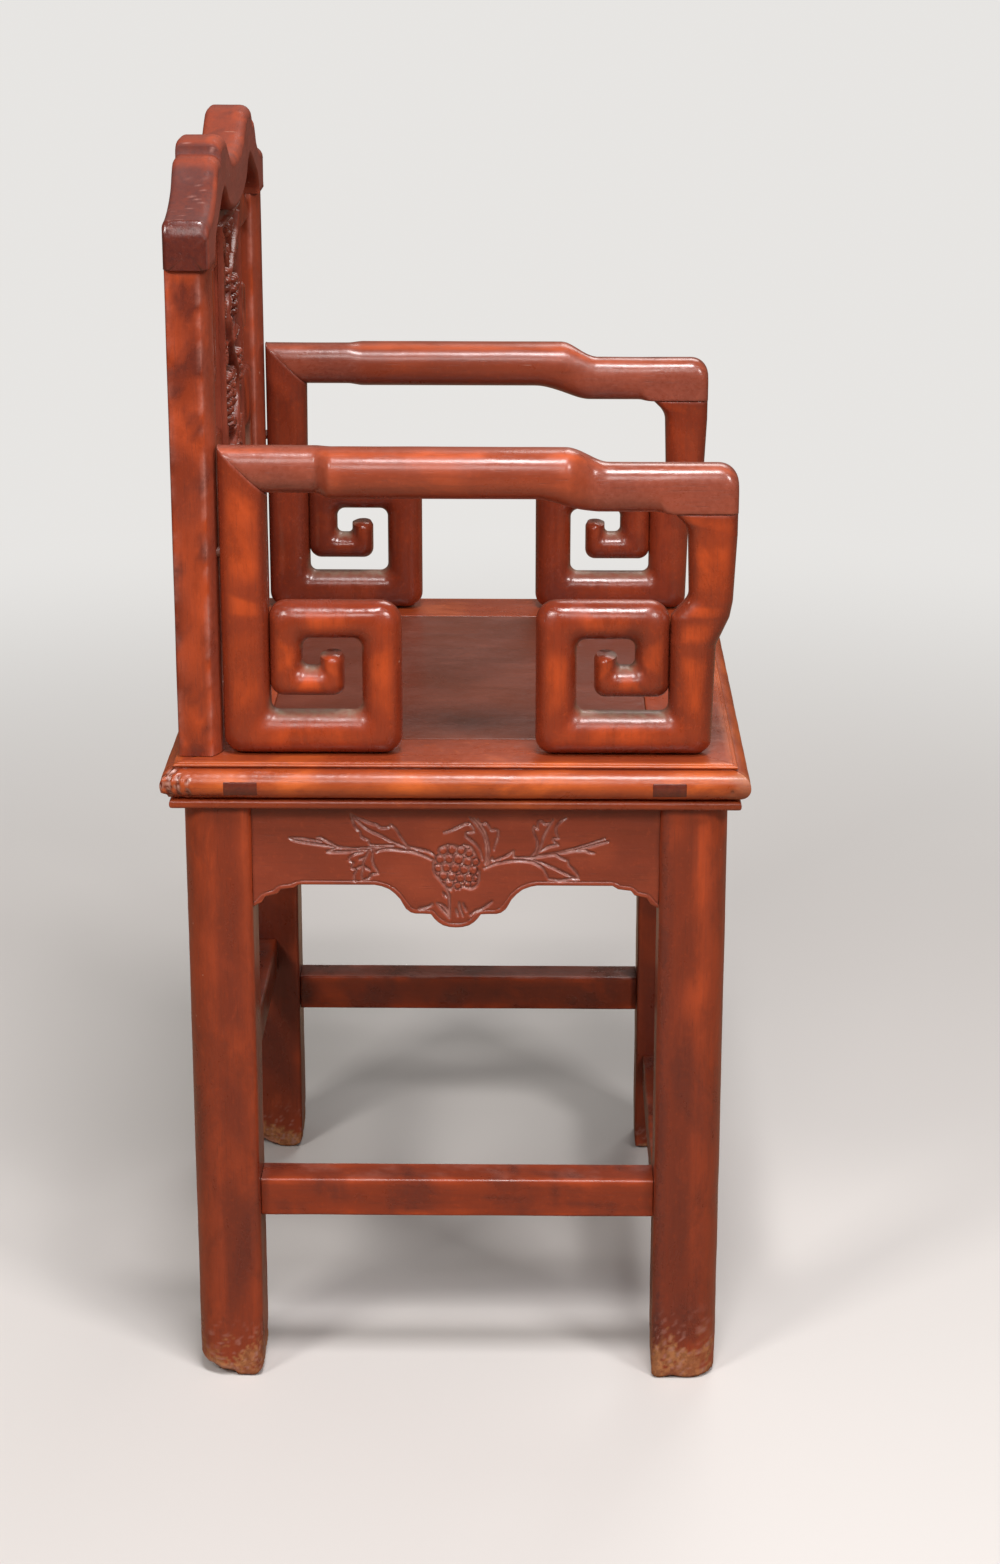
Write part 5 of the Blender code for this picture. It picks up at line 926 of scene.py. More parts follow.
panel_finish = lacquer("lacquer_panel", "Y", 8.7, ground=(0.172, 0.039, 0.019), worn=(0.26, 0.058, 0.024),
                       shade=(0.100, 0.026, 0.014), gloss=0.26)
piece("seat_panel", [panel()], panel_finish)
under_finish = lacquer("lacquer_underside", "Y", 9.3, ground=(0.125, 0.030, 0.017), worn=(0.22, 0.06, 0.028),
                       shade=(0.06, 0.015, 0.010), gloss=0.4)
for side, word in ((-1, "right"), (1, "left")):
    near, far = sorted((side * BATTEN_NEAR, side * BATTEN_FAR))
    low_corner, high_corner = (near, -PANEL_HALF_Y, BATTEN_LOW), (far, PANEL_HALF_Y, BATTEN_HIGH)
    rings, wear, _ = square_bar(low_corner, high_corner, 1, BATTEN_ROUND, 140 + side)
    piece(f"seat_batten_{word}", [shell(rings, wear=wear * 0.4)], under_finish)

# The two back posts
# Square hardwood posts with a convex front between two sharp edges, tenoned into the seat frame below and
# into the crest above. Their outer sides are worn orange in patches, and their edges are rubbed pale.
POST_OUT_X, POST_IN_X, POST_REAR_Y, POST_FRONT_Y = 0.225, 0.187, 0.2025, 0.1705
POST_LOW, POST_HIGH = 0.5003, 0.855
POST_BULGE, POST_REAR_ROUND, POST_ARRIS_ROUND = 0.0072, 0.0025, 0.0006
POST_EDGE_Y = POST_FRONT_Y + POST_BULGE
POST_END_EASE, POST_STATION = 0.0005, 0.005


def post_outline(middle, half):
    """A post's outline: a shallow arc for its front, from one edge to the other, and then the sides and the
    back of a rectangle with rounded corners, taken on from the arc's end."""
    swell = np.linspace(-1, 1, 21)
    front = np.stack([middle + half * swell * 0.985, POST_FRONT_Y + POST_BULGE * swell ** 2], 1)
    square, _ = outline([
        (middle + half, POST_EDGE_Y, POST_ARRIS_ROUND),
        (middle + half, POST_REAR_Y, POST_REAR_ROUND),
        (middle - half, POST_REAR_Y, POST_REAR_ROUND),
        (middle - half, POST_EDGE_Y, POST_ARRIS_ROUND)], 4, 0.003)
    sides = square[square[:, 1] > POST_EDGE_Y + 0.00005]
    start = np.argmin(np.hypot(sides[:, 0] - (middle + half), sides[:, 1] - POST_EDGE_Y))
    sides = np.roll(sides, -start, 0)
    if np.hypot(*(sides[1] - sides[0])) > half:
        sides = np.roll(sides[::-1], 1, 0)
    return np.concatenate([front, sides])


def back_post(side, seed):
    """A back post: its outline carried up, uneven by a fraction of a millimetre."""
    middle, half = side * (POST_OUT_X + POST_IN_X) / 2, (POST_OUT_X - POST_IN_X) / 2
    loop = post_outline(middle, half)
    normals = sideways(loop)
    places, inset = eased(POST_LOW, POST_HIGH, POST_END_EASE, POST_STATION)
    rings = standing(loop[None] - normals[None] * inset[:, None, None], places)
    rings[..., :2] -= normals[None] * (0.00015 + 0.00018 * ripple(rings, 0.06, seed))[..., None]
    outer = np.clip(side * normals[:, 0], 0, 1)[None]
    front_edge = np.exp(-np.abs(loop[:, 1] - POST_EDGE_Y) / 0.0012)
    rear_edge = np.exp(-np.hypot(loop[:, 0] - middle - side * half, loop[:, 1] - POST_REAR_Y) / 0.0022)
    facing = fall(loop[:, 1], POST_EDGE_Y - 0.2 * POST_BULGE, POST_EDGE_Y)[None]
    rubbed_up = 0.35 * rise(rings[..., 2], 0.70, 0.85)
    wear = outer * (0.45 + 1.3 * ripple(rings, 0.06, seed + 1) + rubbed_up) + front_edge[None] * 0.9
    wear = np.maximum(wear, facing * (0.42 + 0.6 * ripple(rings, 0.05, seed + 7)))
    patched = ripple(rings * (1, 1, 0.6), 0.030, seed + 4) + 0.25 * ripple(rings, 0.009, seed + 5)
    patched = outer * 0.70 * rise(patched, 0.02, 0.40)
    lined = (front_edge * 0.55 + rear_edge * 0.45)[None] * rise(ripple(rings, 0.02, seed + 6), -0.3, 0.2)
    # The convex front is given a faint pale painted sheen.
    return shell(rings, wear=wear * (1 - 0.6 * patched), dark=patched + 0.12 * outer,
                 chalk=np.maximum(lined, facing * 0.10))


post_finish = lacquer("lacquer_posts", "Z", 10.9)
for side, word in ((-1, "right"), (1, "left")):
    piece(f"back_post_{word}", [back_post(side, 150 + side)], post_finish, sharp=32)

# The crest rail
# One thick plank sawn to a cloud outline, its front edge broadly rounded, seated on the posts' tenons. Its
# end blocks are a dark glossy purple brown, and its raised edges are rubbed orange.
CREST_HALF, CREST_BASE, CREST_RISE = 0.229, 0.8553, 0.079
CREST_FRONT, CREST_BACK = 0.1695, 0.2025
CREST_FRONT_ROUNDS, CREST_BACK_ROUNDS, CREST_ROWS = (0.004, 0.0085), (0.002, 0.0045), 18
CREST_END_RUN, CREST_END_DROP, CREST_END_POWER = 0.0050, 0.0108, 1.4
CREST_END_ROUND = 0.0045
CREST_THIN = 0.026
CREST_SEATED_SHARE = 0.815

# Its upper and lower outlines, as shares of the half width and of the rise.
CREST_UPPER = (
    (1.0, 0.425), (0.985, 0.43), (0.955, 0.44), (0.90, 0.46), (0.83, 0.51), (0.77, 0.575),
    (0.715, 0.665), (0.675, 0.79), (0.645, 0.855), (0.60, 0.865), (0.562, 0.868), (0.556, 0.955),
    (0.53, 0.993), (0.46, 1.0), (0.38, 0.985), (0.315, 0.90), (0.25, 0.805), (0.15, 0.735), (0.0, 0.71))
CREST_LOWER = (
    (0.0, 0.18), (0.12, 0.195), (0.25, 0.255), (0.33, 0.33), (0.39, 0.44), (0.46, 0.505), (0.54, 0.46),
    (0.63, 0.35), (0.75, 0.215), (0.80, 0.09), (CREST_SEATED_SHARE, 0.0))


def crest_outlines():
    """Stations across the crest, as shares of its half width, and the lower and upper outline at each: close
    together where an outline turns and where the end blocks are rounded."""
    upper, lower = smooth_line(CREST_UPPER, 7), smooth_line(CREST_LOWER, 7)
    ends = np.linspace(0.81, 0.985, 40), np.linspace(0.96, 0.995, 12), np.linspace(0.995, 1, 9)
    x = np.unique(np.concatenate([upper[:, 0], lower[:, 0], *ends]).round(5))
    x = x[(x >= 0) & (x <= 1)]
    x = x[np.concatenate([[True], np.diff(x) > 0.0004])]
    high = np.interp(x, upper[::-1, 0], np.minimum(upper[::-1, 1], 1))
    low = np.interp(x, lower[:, 0], np.maximum(lower[:, 1], 0)) * (x < CREST_SEATED_SHARE - 0.0001)
    halves = (-1, x), (1, low), (1, high)
    both_ways = [np.concatenate([sign * half[::-1][:-1], half]) for sign, half in halves]
    return [values[:, None] for values in both_ways]


def crest_marks(rings, share, depth, front_rows, edge):
    """The crest's dark end blocks, its dark slopes and risers, its rubbed upper edge, the blotches on its
    top, the pale nicks in the dark parts, and a pale painted sheen on its front."""
    away = np.abs(rings[..., 0])
    upper_edge = edge * rise(share, 0.4, 0.9)
    end_block = rise(away, 0.2185, 0.2235) * fall(depth, -0.004, 0.0002)
    end_block = end_block + rise(away, 0.2265, 0.2288) * rise(depth, -0.004, 0.0002)
    riser = bell(away, 0.1281, 0.0016) * rise(share, 0.5, 1.0)
    behind_edge = rise(-depth / CREST_FRONT_ROUNDS[1], 0.12, 0.42)
    slope = rise(away, 0.150, 0.158) * rise(share, 0.9, 1.0) * behind_edge
    blotches = rise(ripple(rings, 0.035, 167) + 0.5 * ripple(rings, 0.010, 168), 0.0, 0.6)
    wear = upper_edge * (0.65 + 0.6 * ripple(rings, 0.03, 163)) * (1 - end_block) * fall(away, 0.20, 0.226)
    wear = np.maximum(wear, 0.20 * (1 - end_block) * (1 - slope))
    dark_slope = slope * (0.93 + 0.02 * rise(away, 0.195, 0.22))
    dirt = np.maximum(front_rows * 0.04 + 0.12 * upper_edge, 0.42 * rise(share, 0.8, 1.0) * blotches)
    dark = np.maximum.reduce([end_block, dark_slope, riser * 0.9, dirt])
    nicks = rise(ripple(rings, 0.006, 164), 0.42, 0.6) * np.maximum(slope * 0.6, riser * 1.5)
    # A pale painted sheen over the front, away from the end blocks.
    sheen = front_rows * (1 - end_block) * (0.09 + 0.06 * ripple(rings, 0.04, 166))
    return {"wear": wear, "dark": dark, "chalk": np.maximum(nicks * 0.6, sheen)}


def crest():
    """The crest: a board's section carried from end to end between a smooth upper and a smooth lower outline.
    The last stations draw the section in to round the end blocks, most along their upper edge."""
    x, low, high = crest_outlines()
    thickness = CREST_BACK - CREST_FRONT
    depth, share, extra, front_rows, edge = slab_section(
        thickness, CREST_FRONT_ROUNDS, CREST_BACK_ROUNDS, CREST_ROWS)
    bottom, top = CREST_BASE + CREST_RISE * low, CREST_BASE + CREST_RISE * high
    extra = np.where((share < 0.02) & (bottom < CREST_BASE + 0.0001), extra * 0.25, extra)
    height = bottom * (1 - share) + top * share + extra * np.clip((top - bottom) / CREST_THIN, 0.2, 1)
    left = (1 - np.abs(x)) * CREST_HALF
    middle, half = (bottom + top) / 2, (top - bottom) / 2
    drop = CREST_END_DROP * end_round(left, CREST_END_RUN, CREST_END_POWER)
    height = middle + (height - middle) * (1 - drop / half * (height > middle))
    draw = CREST_END_ROUND * end_round(left, CREST_END_ROUND) / (thickness / 2)
    pulled = (depth + thickness / 2) * (1 - 0.8 * draw) - thickness / 2
    rings = np.stack([np.broadcast_to(x * CREST_HALF, height.shape), CREST_FRONT - pulled, height], -1)
    worn_edge = 0.0004 * rise(ripple(rings, 0.02, 165), 0.2, 0.6) * edge
    rings[..., 2] -= (0.0002 * (1 + ripple(rings, 0.05, 161)) + worn_edge) * (share > 0.5)
    rings[..., 1] += (0.00015 + 0.00015 * ripple(rings, 0.05, 162)) * front_rows
    return shell(rings, **crest_marks(rings, share, depth, front_rows, edge))


crest_finish = lacquer("lacquer_crest", "X", 12.3, ground=(0.225, 0.035, 0.013), worn=(0.42, 0.060, 0.012),
                       gloss=0.62, specular=0.45, coat=0.04, shine=-0.05, polish=0.54)
piece("crest_rail", [crest()], crest_finish, sharp=50)

# The splat
# The board in the middle of the back, tenoned into the seat frame and the crest, with an arched foot and a
# pierced cloud. Between raised borders a vine with grapes and serrated leaves is carved in relief.
SPLAT_HALF, SPLAT_FRONT, SPLAT_THICKNESS, SPLAT_ROUND = 0.0750, 0.179, 0.016, 0.0015
SPLAT_WAIST, SPLAT_STATIONS, SPLAT_LOWER_ROWS, SPLAT_UPPER_ROWS, SPLAT_SEED = 0.094, 255, 60, 250, 211
SPLAT_CREST_GAP, SPLAT_SEAT_GAP = 0.0003, 0.0004
ARCH_HALF, ARCH_RISE, ARCH_FOOT = 0.034, 0.026, 0.010
CLOUD_HALF, CLOUD_RISE, CLOUD_POINT = 0.030, 0.021, 0.002
CLOUD_LINE_INSET, CLOUD_LINE_WIDTH, CLOUD_LINE_DEPTH = 0.0038, 0.0006, 0.0006
CLOUD_UNDER = (
    (-1.0, 0.0), (-0.72, -0.55), (-0.38, -0.35), (0.0, -1.0), (0.38, -0.35), (0.72, -0.55), (1.0, 0.0))
CLOUD_OVER = ((-1.0, 0.0), (-0.62, 0.62), (-0.3, 0.5), (0.0, 1.0), (0.3, 0.5), (0.62, 0.62), (1.0, 0.0))
FIELD_HALF, FIELD_LOW, FIELD_HIGH, FIELD_FLOOR = 0.0725, 0.150, 0.3650, -0.0042
BORDER, BORDER_PROUD, BORDER_SWELL = 0.0042, 0.0026, 0.0014
DRAWING_WIDER, DRAWING_TALLER, CARVING_DEPTH, CARVING_LIMIT = 1.27, 1.165, 2.55, 4.2

# The carving, in millimetres from the board's middle and above the seat: the vine, its side shoots, the
# leaves from stalk to tip with their half widths, and the bunches by their top and the grapes in each row.
VINE = (
    (-34, 156), (-22, 172), (-2, 184), (16, 200), (20, 222), (4, 240), (-18, 254), (-26, 274), (-14, 294),
    (10, 306), (34, 318), (44, 330))
SHOOTS = (
    ((-22, 172), (-34, 184), (-36, 200)), ((-2, 184), (12, 176), (30, 178)),
    ((18, 208), (30, 216), (36, 232)), ((20, 222), (8, 216), (-4, 204)),
    ((4, 240), (18, 250), (34, 276)), ((-18, 254), (-32, 250), (-42, 258)),
    ((-26, 274), (-38, 286), (-42, 300)), ((-14, 294), (-22, 308), (-36, 318)),
    ((10, 306), (4, 318), (-6, 326)))
LEAVES = (
    (-30, 163, -48, 178, 7.0), (-12, 178, 6, 162, 7.0), (18, 176, 46, 166, 7.5), (24, 180, 46, 192, 7.0),
    (12, 194, -12, 196, 7.0), (28, 214, 49, 208, 6.5), (14, 228, -8, 226, 7.0), (34, 268, 48, 286, 7.0),
    (16, 248, 44, 250, 6.0), (-8, 248, -2, 268, 7.0), (-34, 252, -49, 242, 6.0), (-24, 266, 0, 280, 7.0),
    (-34, 282, -49, 274, 6.5), (-40, 294, -48, 314, 7.0), (-18, 300, -8, 316, 6.5), (-30, 314, -44, 329, 6.5),
    (6, 304, 26, 294, 7.0), (24, 312, 46, 304, 7.0), (4, 316, 22, 328, 6.5), (-2, 324, -22, 330, 5.5))
BUNCHES = (
    (-32, 232, (3, 4, 4, 3, 2, 1)), (34, 236, (2, 3, 2, 1)), (20, 288, (3, 4, 3, 2, 1)), (-8, 222, (1, 2, 1)),
    (-24, 300, (1, 2, 1)))
VINE_RADIUS, SHOOT_RADIUS, GRAPE = 2.3, 1.5, 3.3
LEAF_TEETH, LEAF_SAG, LEAF_RIB = 6, 2.2, 0.55


def leaf_relief(u, v, root_u, root_v, tip_u, tip_v, half):
    """Height of a carved leaf: an almond along its stalk line whose rim is cut into teeth; it rises towards
    the middle, and a midrib and slanting side veins are grooved into it."""
    run = np.array((tip_u - root_u, tip_v - root_v), float)
    length = np.hypot(*run)
    run /= length
    along = ((u - root_u) * run[0] + (v - root_v) * run[1]) / length
    kept = np.clip(along, 0, 1)
    aside = (v - root_v) * run[0] - (u - root_u) * run[1] - LEAF_SAG * np.sin(np.pi * kept)
    teeth = 1 - 0.20 * (1 - (along * LEAF_TEETH) % 1)
    width = half * np.sin(np.pi * kept ** 0.8) ** 0.8 * teeth
    inner = np.clip(1 - (np.abs(aside) / np.maximum(width, 0.01)) ** 2, 0, 1)
    veins = 0.45 * bell((along * LEAF_TEETH - np.abs(aside) / half * 1.3) % 1, 0.5, 0.16)
    grooved = veins * inner ** 0.5 + 0.9 * bell(aside, 0, LEAF_RIB)
    height = 1.5 + 1.7 * inner ** 0.6 - grooved * (along > 0.03)
    return np.where((along > 0) & (along < 1) & (np.abs(aside) < width), height, 0)


def grape_relief(u, v, spot_u, spot_v, lift):
    """Height of one grape: a half ball with a small dimple at its tip."""
    away = np.hypot(u - spot_u, v - spot_v) / GRAPE
    ball = lift + 2.9 * np.sqrt(np.clip(1 - away ** 2, 0, 1)) - 0.5 * bell(away, 0, 0.16)
    return np.where(away < 1, ball, 0)


def vine_relief(u, v):
    """Height of the carving over its sunk ground, in millimetres, from places in millimetres: the highest of
    the twigs (half tubes with knots), leaves and grapes at each point."""
    places = np.stack([u, v, u * 0], -1)
    height = 0.25 * (1 + ripple(places, 9, 201))
    knots = 1 + 0.18 * ripple(places, 14, 202)
    for line, thick in [(VINE, VINE_RADIUS)] + [(shoot, SHOOT_RADIUS) for shoot in SHOOTS]:
        away, _ = distance_to(smooth_line(line), u, v, 4.0)
        radius = thick * knots
        tube = 0.9 + 1.15 * np.sqrt(np.clip(radius ** 2 - away ** 2, 0, None))
        height = np.maximum(height, np.where(away < radius, tube, 0))
    for leaf in LEAVES:
        height = np.maximum(height, leaf_relief(u, v, *leaf))
    for top_u, top_v, rows in BUNCHES:
        for row, count in enumerate(rows):
            for place in range(count):
                spot = top_u + (place - (count - 1) / 2) * GRAPE * 1.9, top_v - row * GRAPE * 1.65
                height = np.maximum(height, grape_relief(u, v, *spot, 0.9 + 0.25 * ((row + place) % 2)))
    return height


def field_relief(u, v):
    """How far the splat's face stands out at each place: a rounded border round a sunk field, and the carving
    on the field; outside the border the board is plain."""
    inside = np.minimum(FIELD_HALF - np.abs(u), np.minimum(v - FIELD_LOW, FIELD_HIGH - v))
    from_middle = (inside - BORDER / 2) / (BORDER / 2)
    border = BORDER_PROUD * rise(inside, 0, 0.0010)
    border += BORDER_SWELL * np.sqrt(np.clip(1 - from_middle ** 2, 0, 1))
    drawn_u, drawn_v = u / DRAWING_WIDER, FIELD_LOW + (v - FIELD_LOW) / DRAWING_TALLER
    drawn = MILLIMETRE * np.minimum(vine_relief(drawn_u / MILLIMETRE, drawn_v / MILLIMETRE), CARVING_LIMIT)
    carving = FIELD_FLOOR + drawn * CARVING_DEPTH * rise(inside, BORDER, BORDER + 0.0015)
    within = rise(inside, BORDER - 0.0003, BORDER + 0.0005)
    return np.where(inside > 0, border * (1 - within) + carving * within, 0)


def splat_level(bottom, top, rows, kept_low, kept_high):
    """One level of the splat: a board's section carried across it between a lower and an upper outline. Kept
    is the share of their rounding that these edges have at each station. The field's relief and the line
    cut round the cloud shape its face."""
    rounds = SPLAT_ROUND, SPLAT_ROUND
    depth, share, extra, front_rows, edge = slab_section(SPLAT_THICKNESS, rounds, rounds, rows)
    kept = np.where(share < 0.5, kept_low[:, None], kept_high[:, None])
    height = bottom[:, None] * (1 - share) + top[:, None] * share + extra * kept
    depth = np.where(depth > -SPLAT_ROUND - 0.0001, depth * kept, depth)
    along = np.broadcast_to(across_splat[:, None], height.shape)
    face = along[:, front_rows], height[:, front_rows]
    rim = np.concatenate([cloud_under, cloud_over[::-1]]) + (0, SPLAT_WAIST)
    near_cloud, _ = distance_to(rim, *face, 0.008)
    proud = np.zeros(height.shape)
    proud[:, front_rows] = field_relief(*face)
    proud[:, front_rows] -= CLOUD_LINE_DEPTH * bell(near_cloud, CLOUD_LINE_INSET, CLOUD_LINE_WIDTH)
    rings = np.stack([along, SPLAT_FRONT - depth - proud, SEAT_TOP + height], -1)
    rings[..., 1] += (0.0001 + 0.0002 * (1 + ripple(rings, 0.05, SPLAT_SEED))) * front_rows
    on_field = (height > FIELD_LOW) & (height < FIELD_HIGH) & (np.abs(along) < FIELD_HALF)
    hollow = front_rows * fall(proud, -0.0020, 0.0005) * on_field
    raised = front_rows * rise(proud, 0.0012, 0.0034)
    wear = np.maximum(edge * 0.6 * kept, raised * (0.30 + 0.7 * ripple(rings, 0.02, SPLAT_SEED + 1)))
    specks = rise(ripple(rings, 0.008, SPLAT_SEED + 2), 0.3, 0.6)
    return shell(rings, wear=wear, dark=np.maximum(hollow * 0.75, raised * 0.28), dust=hollow * 0.18,
                 chalk=raised * specks * 0.12)


# The splat's two levels meet at the cloud's middle: the lower one stands on two feet, and the upper one ends
# under the crest's lower edge.
across_splat = np.linspace(-SPLAT_HALF, SPLAT_HALF, SPLAT_STATIONS)
away_from_middle = np.abs(across_splat)
cloud_under, cloud_over = (smooth_line(half) * (CLOUD_HALF, CLOUD_RISE) for half in (CLOUD_UNDER, CLOUD_OVER))
crest_edge = smooth_line(CREST_LOWER, 7)
crest_low = CREST_RISE * np.interp(away_from_middle / CREST_HALF, crest_edge[:, 0], crest_edge[:, 1])
arch = ARCH_RISE * fall(away_from_middle, ARCH_HALF - ARCH_FOOT, ARCH_HALF + ARCH_FOOT) + SPLAT_SEAT_GAP
arched = 0.9 * fall(away_from_middle, ARCH_HALF, ARCH_HALF + ARCH_FOOT) + 0.1
pierced = 0.96 * fall(away_from_middle, CLOUD_HALF - CLOUD_POINT, CLOUD_HALF) + 0.04
waist_under, waist_over = (
    SPLAT_WAIST + np.interp(across_splat, *line.T, 0, 0) for line in (cloud_under, cloud_over))
splat_finish = lacquer("lacquer_splat", "Z", 20.3, ground=(0.225, 0.036, 0.017), worn=(0.44, 0.085, 0.036),
                       gloss=0.25)
piece("back_splat", [
    splat_level(arch, waist_under, SPLAT_LOWER_ROWS, arched, pierced),
    splat_level(waist_over, CREST_BASE - SEAT_TOP + crest_low - SPLAT_CREST_GAP, SPLAT_UPPER_ROWS, pierced,
                np.full(SPLAT_STATIONS, 0.3))], splat_finish, sharp=40)

# The arms' scrolls
# Each is a square spiral of lacquered hardwood, sawn from thick stock in one piece with its post or upright,
# tenoned into the side rail and rounded over to a pillow. Dust lies in the inner corners, and the middle of
# each bar is rubbed.
ARM_MIDDLE, ARM_HALF = 0.210, 0.015
ARM_FRONT_Y, ARM_REAR_Y = -0.2027, 0.1697
SCROLL_POINTS, SCROLL_END_EASE, SCROLL_SEAM = 44, 0.0025, 0.0008

# The two bands, drawn as they go from the rail down and round to the tip. Each stop is a place on the inner
# edge (distance from the arm's end, height over the seat) with its rounding, and the same for the outer edge.
FRONT_SCROLL = (
    (0.0465, 0.1814, 0, 0.0, 0.1814, 0),
    (0.0358, 0.1712, 0.018, 0.0, 0.1650, 0.02),
    (0.0343, 0.1190, 0.010, 0.0022, 0.1160, 0.03),
    (0.0470, 0.1045, 0.006, 0.0044, 0.1040, 0.004),
    (0.0478, 0.0860, 0.004, 0.0138, 0.0830, 0.012),
    (0.0478, 0.0320, 0.006, 0.0160, 0.0004, 0.011),
    (0.1146, 0.0320, 0.007, 0.1445, 0.0004, 0.012),
    (0.1146, 0.0868, 0.007, 0.1445, 0.1155, 0.015),
    (0.0725, 0.0868, 0.006, 0.0474, 0.1155, 0.015),
    (0.0725, 0.0665, 0.005, 0.0474, 0.0437, 0.009),
    (0.0856, 0.0665, 0.004, 0.1020, 0.0437, 0.008),
    (0.0856, 0.0752, 0, 0.1020, 0.0752, 0))
REAR_SCROLL = (
    (0.0345, 0.1945, 0, 0.0, 0.2285, 0),
    (0.0340, 0.1150, 0.01, 0.0, 0.1300, 0.02),
    (0.0347, 0.1030, 0.01, 0.0, 0.1030, 0.02),
    (0.0350, 0.0320, 0.006, 0.0, 0.0004, 0.013),
    (0.1015, 0.0320, 0.007, 0.1309, 0.0004, 0.013),
    (0.1015, 0.0872, 0.007, 0.1309, 0.1148, 0.016),
    (0.0585, 0.0872, 0.007, 0.0345, 0.1148, 0.012),
    (0.0585, 0.0655, 0.005, 0.0345, 0.0442, 0.010),
    (0.0712, 0.0655, 0.004, 0.0890, 0.0442, 0.008),
    (0.0712, 0.0750, 0, 0.0890, 0.0750, 0))

# How square the section is at shares of the way: 2 would be round, and higher powers are squarer.
FRONT_POWERS = ((0, 3.8), (0.04, 2.9), (0.12, 2.45), (0.25, 2.2), (1.0, 2.12))
REAR_POWERS = ((0, 2.9), (0.04, 2.8), (0.20, 2.6), (0.32, 2.3), (1.0, 2.12))


def band(stops, spacing=0.003):
    """The two edges of a band that turns corners. Each stop is (inner u, v, round, outer u, v, round); both
    edges turn by arcs of equal count there and run straight between. Returns inner and outer points, and the
    nearness of each station to a corner."""
    stops = np.array(stops, float)
    sides = []
    for spots, rounds in ((stops[:, 0:2], stops[:, 2]), (stops[:, 3:5], stops[:, 5])):
        turns = [corner_arc(*spots[i - 1:i + 2], rounds[i], 9) for i in range(1, len(spots) - 1)]
        sides.append([spots[:1]] + turns + [spots[-1:]])
    edges, bend = ([], []), []
    for i in range(len(stops)):
        bend.append(np.ones(len(sides[0][i])))
        for store, rows in zip(edges, sides):
            store.append(rows[i])
        if i + 1 < len(stops):
            gap = max(np.linalg.norm(rows[i + 1][0] - rows[i][-1]) for rows in sides)
            shares = np.linspace(0, 1, max(int(gap / spacing), 2) + 1)[1:-1, None]
            if i == 0:
                shares = np.concatenate([[[0.0005 / gap]], shares])
            bend.append(1 - np.sin(np.pi * shares[:, 0]))
            for store, rows in zip(edges, sides):
                store.append(rows[i][-1] + (rows[i + 1][0] - rows[i][-1]) * shares)
    return np.concatenate(edges[0]), np.concatenate(edges[1]), np.concatenate(bend)


def way_along(line):
    """Length of the way from a line's start to each of its points."""
    return np.concatenate([[0], np.cumsum(np.linalg.norm(np.diff(line, axis=0), axis=1))])


def pillow(power, points):
    """A unit section between a circle and a square: cosine and sine raised to two over the power, which may
    differ from station to station. Its first point lies on the inner edge."""
    turn = np.linspace(0, 2 * np.pi, points, endpoint=False)
    return [np.sign(way) * np.abs(way) ** (2 / power) for way in (np.cos(turn), np.sin(turn))]


def scroll_marks(rings, toward, out, share, bend, seed):
    """A scroll's dust on ledges and in inner corners, its rubbed bars, and painted shade in its inner corners
    and on the sides of its bands; its inner sides are darker, partly dirt and partly painted shade.
    """
    normal = np.cross(np.roll(rings, -1, 1) - np.roll(rings, 1, 1), np.gradient(rings, axis=0))
    normal /= np.maximum(np.linalg.norm(normal, axis=-1), 1e-9)[..., None]
    normal *= np.sign((normal * (rings - rings.mean(1, keepdims=True))).sum(-1).mean())
    ledge = np.clip(normal[..., 2], 0, 1) ** 2 * rise(toward, 0.50, 0.95) * rise(share, 0.18, 0.24)
    inside = rise(toward, 0.80, 1.0) * rise(share, 0.30, 0.35)
    ledge = ledge * (0.75 + 0.5 * ripple(rings, 0.01, seed + 1))
    dust = np.maximum(ledge, inside * rise(bend, 0.5, 1.0) * 0.55)
    face = rise(np.abs(out), 0.75, 1.0)
    inward = rise(-out, 0.2, 0.9)
    wear = fall(bend, 0.2, 0.8) * face * (0.60 + 0.6 * ripple(rings, 0.055, seed + 2))
    wear = (wear + 0.25 * rise(ripple(rings, 0.08, seed + 3), 0.0, 0.5)) * (1 - 0.55 * inward)
    # Painted shade in the spiral's inner corners and on the sides of the bands, away from their faces; the
    # inner sides are darker, partly dirt and partly painted shade.
    dark = np.maximum(inside * 0.55, (1 - face) * 0.25)
    return {"wear": wear, "dust": dust,
            "dark": np.maximum(dark, inward * (0.46 + 0.3 * ripple(rings, 0.05, seed + 4)))}


def scroll(side, stops, start_y, way, powers, seed):
    """A scroll: the pillow section carried along the band. It is as wide as the band and as thick as the arm;
    its squareness follows shares of the way, and the last stations draw in to close the tip."""
    inner, outer, bend = band(stops)
    middle, half = (inner + outer) / 2, (inner - outer) / 2
    length = way_along(middle)
    share = (length / length[-1])[:, None]
    toward, out = pillow(np.interp(share, *zip(*powers)), SCROLL_POINTS)
    draw = 1 - 0.2 * end_round(length[-1] - length, SCROLL_END_EASE)[:, None]
    draw[0] = 0.990
    flat = middle[:, None] + half[:, None] * (toward * draw)[..., None]
    thick = ARM_HALF * out * draw
    rings = np.stack([side * (ARM_MIDDLE + thick), start_y + way * flat[..., 0], SEAT_TOP + flat[..., 1]], -1)
    uneven = 0.0002 + 0.00025 * ripple(rings, 0.045, seed) + 0.00012 * ripple(rings, 0.014, seed + 5)
    rings[..., 0] -= side * np.sign(thick) * uneven * (np.abs(out) > 0.3)
    seam = (length < SCROLL_SEAM)[:, None] * 0.14
    return shell(rings, chalk=seam, **scroll_marks(rings, toward, out, share, bend[:, None], seed))


